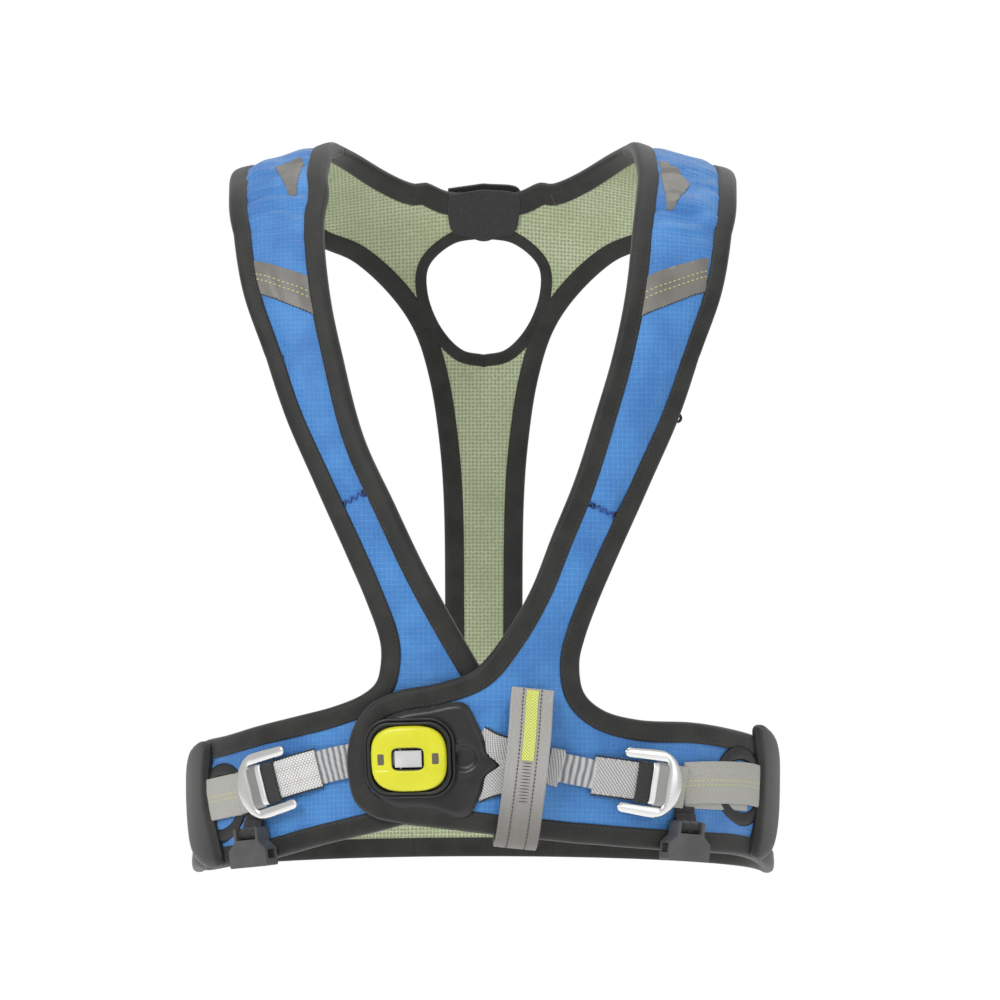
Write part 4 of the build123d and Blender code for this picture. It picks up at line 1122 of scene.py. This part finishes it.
def build_buckle():
    def dome(x, y):
        step = 0.62*(1 - ease((np.abs(y) - 6.4)/0.9))*ease((np.abs(x) - 10.2)/1.4)
        return BUTTON_TOP + 0.9 - 0.0042*(x**2) - 0.0055*(y**2) - step

    def underside(x, y):
        rim = (np.abs(x)/(BUTTON_SIZE[0]/2 - 2))**3 + (np.abs(y)/(BUTTON_SIZE[1]/2 - 2))**3 > 1
        over_ears = (np.abs(x - LATCH_PIN_X) < 3.2) & (np.abs(y) < 9.3)
        return np.where(rim, BUTTON_LOW, np.where(over_ears, OVER_EARS, BUTTON_DECK))

    window = superellipse(*WINDOW, 5.0, 64)
    button_piece("button_cap", superellipse(*BUTTON_SIZE, 3.0, 140), [window], dome, underside, 1.9, 0.75,
                 YELLOW_PLASTIC, ("release_button",), hole_roll=0.6)
    for label, s in (("left", -1), ("right", 1)):
        inlay = superellipse(*SIDE_WINDOW, 6.0, 40) + (s*SIDE_WINDOW_X, 0)
        button_piece(f"button_inlay_{label}", inlay, [], lambda x, y: dome(x, y) + 0.10, BUTTON_TOP - 2, 0.25,
                     0.5, BROWN_PLASTIC)
    rim_in = superellipse(WINDOW[0] - 1.2, WINDOW[1] - 1.4, 8.0, 64)
    button_piece("button_window_frame", superellipse(*WINDOW, 6.0, 64), [rim_in],
                 lambda x, y: dome(x, y) - 0.35, OVER_EARS, 0.3, 0.4, BLACK_PLASTIC,
                 hole_roll=0.3)
    plate = smooth([(-65, 13), (-63.5, 25), (-56, 35), (-46, 39.5), (-30, 42), (-10, 44.5), (-3, 33),
                    (1.5, 22), (3.6, 15.5), (11, 7.6), (3.4, 1.0), (-0.5, -9), (-6.5, -21), (-12, -23.5),
                    (-30, -19), (-50, -17), (-61, -9), (-65.5, 1), (-65, 13)], 6)
    pq, tris = region([plate], 1.5)
    away = line_distance(pq, [plate])
    p, q = pq.T
    face = lift(p, q) + COVER_TOP*thinning(p) + 1.7*ease((p + 25)/20)
    dimple = np.hypot(p + 10.3, q - 12)
    raised = 2.6*ease(away/3.2) - 1.9*(1 - ease((dimple - 5.5)/3.0)) + 0.5*np.exp(-((dimple - 9.2)/1.3)**2)
    ob = slab("flap_shell", pq, tris, face + 0.15, face + 0.5 + raised)
    finish_piece(ob, BLACK_PLASTIC, LEFT, ("flap_plate",))


def build_springs():
    """Four coils under the button."""
    sections = 16*int(SPRING_HIGH/SPRING_PITCH)
    turn = np.linspace(0, 2*math.pi*SPRING_HIGH/SPRING_PITCH, sections)
    ring = np.linspace(0, 2*math.pi, 8, endpoint=False)
    reach = SPRING_RADIUS + SPRING_WIRE*np.cos(ring)
    rise = SPRING_LOW + SPRING_WIRE + SPRING_PITCH*turn/(2*math.pi)
    coil = np.stack([np.cos(turn)[:, None]*reach, np.sin(turn)[:, None]*reach,
                     rise[:, None] + SPRING_WIRE*np.sin(ring)], 2).reshape(-1, 3)
    faces = tube_faces(sections, len(ring))
    verts = np.vstack([coil + (x, y, 0) for x in (-10, 10) for y in (-12, 12)])
    faces = [tuple(i + k*len(coil) for i in face) for k in range(4) for face in faces]
    ob = outward_faces(mesh_object("coil_springs", moved(verts, BUCKLE), faces))
    finish_piece(ob, SPRING, LEFT, ("button_springs",))
    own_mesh(ob)


def build_adjuster(name, s, pivot, roll):
    """A bent steel frame: two arms that rise to a D-shaped end round the webbing."""
    m = place(*pivot, 12.5, roll)
    count = 81
    t = np.linspace(-1, 1, count)
    # outlines of the frame from the lower arm's tip round the D to the upper arm's tip
    turn = np.clip(t/0.5, -1, 1)*math.pi/2
    reach = np.maximum(np.abs(t) - 0.5, 0)/0.5
    outer = np.stack([s*(2 + 16.4*np.cos(turn) - 23.5*reach), 20.3*np.sin(turn) - np.sign(t)*ease(reach)], 1)
    inner = np.stack([s*(6.2 + 2.4*np.sqrt(np.maximum(np.cos(turn), 0)) - 27.7*reach), 13.5*np.sin(turn)], 1)
    rounding = np.sqrt(np.maximum(1 - (np.clip((reach - 0.86)/0.14, 0, 1)**2), 0.02))[:, None]
    middle = (inner + outer)/2
    inner, outer = middle + (inner - middle)*rounding, middle + (outer - middle)*rounding
    bend = 1.5*np.cos(turn) - 0.1*ease(reach)
    rows = []
    for share, up in ((0.0, -0.5), (0.0, 0.6), (0.12, 1.2), (0.45, 1.55), (0.8, 1.35), (0.96, 0.7),
                      (1.0, 0.0), (0.96, -0.7), (0.8, -1.1), (0.45, -1.2), (0.12, -1.0)):
        rows.append(np.column_stack([inner + (outer - inner)*share, bend + up]))
    points = moved(np.stack(rows, 1), m)
    ob = outward_faces(mesh_object(f"{name}_adjuster_plate", points, tube_faces(count, len(rows))))
    finish_piece(ob, STEEL, f"{name}_adjuster", (f"{name}_adjuster_frame",))
    keeper = [(-11.6, -1.6), (-10.9, -0.3), (-8, 0.35), (0, 0.45), (8, 0.35), (10.9, -0.3), (11.6, -1.6)]
    local_ribbon(f"{name}_black_keeper", m, keeper, 9.0, 2.2, BLACK_WEB,
                 f"{name}_front", x=-s*5.4, replaces=(f"{name}_keeper",))
    for label, x, high, width, material, ends, swap in (
            ("bar", 4.9, 1.1, 7.4, GREY_STEEL, 12.7, (f"{name}_adjuster_bar",)),
            ("lip", -0.1, 1.9, 2.6, BRUSHED, 11.9, ())):
        rod = [(-ends, high - 1.0), (-ends + 1.4, high), (0, high + 0.3), (ends - 1.4, high),
               (ends, high - 1.0)]
        local_ribbon(f"{name}_adjuster_{label}_plate", m, rod, width, 1.5, material, f"{name}_adjuster",
                     x=s*x, replaces=swap)
    # painted shade: a dark strip laid on the D stands for the shade inside its slot, which is not cut
    slot = [(-6.2, 1.85), (-3, 2.1), (0, 2.15), (3, 2.1), (6.2, 1.85)]
    local_ribbon(f"{name}_adjuster_slot_shade", m, slot, 1.7, 0.9, BROWN_PLASTIC,
                 f"{name}_adjuster", x=s*14.3)
    tuck = [(s*11.5, -0.9), (s*15, -2.2), (s*20, -3.6), (s*24, -4.8)]
    ob = cross_ribbon(f"{name}_adjuster_strap", m, tuck, 1.0, 23.5, 1.5, s)
    finish_piece(ob, GREY_WEB, f"{name}_adjuster", (f"{name}_adjuster_webbing",))


RING_RADII, RING_HALF, RING_LOW, RING_HIGH = (25.7, 20.0), 4.3, 5.6, 7.5


def guide_ring(side, centre):
    """A flat oval ring with a rounded top, on the form."""
    t = np.linspace(0, 2*math.pi, 73)[:-1]
    rows = []
    for off, up in ((-1, 0.0), (-0.92, 0.55), (-0.6, 0.9), (0, 1.0), (0.6, 0.9), (0.92, 0.55), (1, 0.0)):
        p = centre[0] + (RING_RADII[0] + off*RING_HALF)*np.cos(t)
        q = centre[1] + (RING_RADII[1] + off*RING_HALF)*np.sin(t)
        rows.append(at(p, q, RING_LOW + (RING_HIGH - RING_LOW)*up))
    n, k = len(t), len(rows)
    faces = [(i*k + c, i*k + d, j*k + d, j*k + c) for i, j in ((i, (i + 1) % n) for i in range(n))
             for c, d in ((c, (c + 1) % k) for c in range(k))]
    ob = outward_faces(mesh_object(f"{side}_guide_oval", np.stack(rows, 1), faces))
    finish_piece(ob, BLACK_PLASTIC, f"{side}_front", (f"{side}_guide_ring",))


def end_band(side, outline):
    """A padded black band folded over the wing's end, its ends rounded."""
    loop = smooth(outline + outline[:1], 6)
    pq, tris = region([loop], 1.8)
    away = line_distance(pq, [loop])
    crown = 2.9*np.sqrt(np.clip(1 - (1 - np.minimum(away/7.0, 1))**2, 0, 1))
    ob = slab(f"{side}_wing_band", pq, tris, 6.0, 8.0 + crown)
    finish_piece(ob, BLACK_TAPE, f"{side}_front", (f"{side}_end_band",))


def build_hardware():
    build_adjuster("left", 1, (102.0, -1.0), -4.0)
    build_adjuster("right", -1, (-138.0, 0.0), 10.0)
    guide_ring("left", (185, 2))
    guide_ring("right", (-188, -8))
    end_band("left", [(204, -4), (205, 18), (201, 31), (200, 38), (208, 41.5), (226, 40), (243, 35),
                      (253, 26), (254, 8), (249, -12), (236, -29), (220, -38), (203, -40.5), (195, -37),
                      (199, -26)])
    end_band("right", [(-203, 0), (-203, 13), (-201, 22), (-201, 28), (-210, 31.5), (-228, 31), (-243, 27),
                       (-252, 19), (-254, 3), (-248, -15), (-236, -32), (-218, -42), (-198, -46.5),
                       (-184, -44), (-189, -30), (-198, -12)])
    for side, pivot in (("left", (127.0, -26.0)), ("right", (-149.0, -28.5))):
        m = place(*pivot, 12.0)
        tab = [(12, -5.0), (6, -4.4), (1.5, -3.4), (-1.9, -1.9), (-2.7, 0), (-1.9, 1.9), (0, 2.7), (2.2, 1.7),
               (3.4, -1.4), (8, -3.4)]
        local_ribbon(f"{side}_crotch_strap_tab", m, tab, 13.4, 1.1, BLACK_WEB,
                     f"{side}_front", replaces=(f"{side}_crotch_tab",))


NAPE = [(-22, 510.5), (0, 510.5), (22, 510.5), (23, 520), (20, 533), (9, 537), (0, 540), (-9, 537),
        (-20, 533), (-23, 520), (-22, 510.5)]
HANG_ARCH = [(-12, -1.0), (-11.6, 3.5), (-8.5, 8.6), (0, 11.6), (8.5, 8.6), (11.6, 3.5), (12, -1.0)]
STEM_CAP = [(-21, 826), (0, 825), (21, 826), (21.5, 862), (21, 900), (0, 901), (-21, 900), (-21.5, 862),
            (-21, 826)]
STEM_CAP_SEAM = [(-18, 829), (18, 829), (18.5, 862), (18, 897), (-18, 897), (-18.5, 862), (-18, 829)]


def back_piece(ob, replaces=()):
    finish_piece(ob, BLACK_WEB, BACK, replaces)


def build_back():
    pq, tris = region([smooth(NAPE, 6)], 2.0)
    back_piece(slab("nape_patch", pq, tris, 5.9, 7.6), ("nape_bridge",))
    back_piece(slab("nape_patch_inside", pq, tris, -1.5, -0.4))
    back_piece(cross_ribbon("hang_tape", place(0, 526, 8.0), HANG_ARCH, 0.8, 7.0, 1.2), ("hang_loop",))
    patch = smooth(STEM_CAP, 5)
    pq, tris = region([patch], 2.5)
    back_piece(slab("stem_cap", pq, tris, 7.6, 9.0 + 0.5*ease(line_distance(pq, [patch])/4)), ("stem_patch",))
    stitch_row("stem_cap_stitching", smooth(STEM_CAP_SEAM, 8), 9.6, GREY_THREAD, BACK)


CAD_MATERIALS = {"buckle_housing": BLACK_PLASTIC, "button_guard": BLACK_PLASTIC, "latch_pin": STEEL,
                 "latch_lever": SILVER_PLASTIC, "tongue": BRUSHED,
                 "left_adjuster_bar": BRUSHED, "right_adjuster_bar": BRUSHED,
                 "left_crotch_buckle": DARK_PLASTIC, "right_crotch_buckle": DARK_PLASTIC,
                 "left_inner_webbing": BLACK_WEB, "right_inner_webbing": BLACK_WEB,
                 "whistle_loop": BLACK_TAPE}


def dress_cad():
    for name, material in CAD_MATERIALS.items():
        mesh = NODES[name].data
        mesh.materials.clear()
        mesh.materials.append(material)


# ---- light, floor and camera --------------------------------------------------------------------
CAMERA_AWAY, CAMERA_X, CAMERA_Z, VIEW_WIDTH = 2.6, 0.0105, 0.163, 0.62
FLOOR_BELOW, FLOOR_HALF = 1.3, 6
AMBIENT = 0.55          # share of the white surround that lights the piece


def area_light(name, place_at, aim, size, power):
    data = bpy.data.lights.new(name, "AREA")
    data.shape, data.size, data.energy = "SQUARE", size, power
    ob = bpy.data.objects.new(name, data)
    ob.location = place_at
    ob.rotation_euler = (Vector(aim) - Vector(place_at)).to_track_quat("-Z", "Y").to_euler()
    bpy.context.scene.collection.objects.link(ob)


def build_studio():
    scene = bpy.context.scene
    cam = bpy.data.cameras.new("camera")
    cam.lens = cam.sensor_width*CAMERA_AWAY/VIEW_WIDTH
    ob = bpy.data.objects.new("camera", cam)
    ob.location = (CAMERA_X, -CAMERA_AWAY, CAMERA_Z)
    ob.rotation_euler = (math.pi/2, 0, 0)
    scene.collection.objects.link(ob)
    scene.camera = ob
    world = bpy.data.worlds.new("studio")
    world.use_nodes = True
    tree = world.node_tree
    backdrop = tree.nodes["Background"].inputs
    seen_directly = tree.nodes.new("ShaderNodeLightPath").outputs["Is Camera Ray"]
    strength = tree.nodes.new("ShaderNodeMapRange")
    strength.inputs["To Min"].default_value = AMBIENT
    strength.inputs["To Max"].default_value = 1.0
    tree.links.new(seen_directly, strength.inputs["Value"])
    tree.links.new(strength.outputs["Result"], backdrop["Strength"])
    backdrop["Color"].default_value = (1, 1, 1, 1)
    scene.world = world
    scene.view_settings.view_transform = "Standard"
    corners = [(x*FLOOR_HALF, y*FLOOR_HALF, -FLOOR_BELOW) for x, y in ((-1, -1), (1, -1), (1, 1), (-1, 1))]
    floor = mesh_object("floor", corners, [(0, 1, 2, 3)])
    pale = Shade("pale_floor", rough=0.9, specular=0.1)
    for socket, value in (("Base Color", (1, 1, 1, 1)), ("Emission Color", (1, 1, 1, 1)),
                          ("Emission Strength", 0.3)):
        pale.shader[socket].default_value = value
    floor.data.materials.append(pale.mat)
    area_light("key", (-1.2, -1.9, 1.4), (0, 0, 0.15), 0.9, 26)
    area_light("fill", (1.6, -1.6, 0.5), (0, 0, 0.1), 1.4, 5)
    area_light("top", (0.2, 0.3, 2.2), (0, 0, 0.1), 1.2, 10)


build_studio()
dress_cad()
build_panels()
build_bindings()
build_webbing()
build_tapes()
build_tether_loop()
build_buckle()
build_springs()
build_hardware()
build_back()
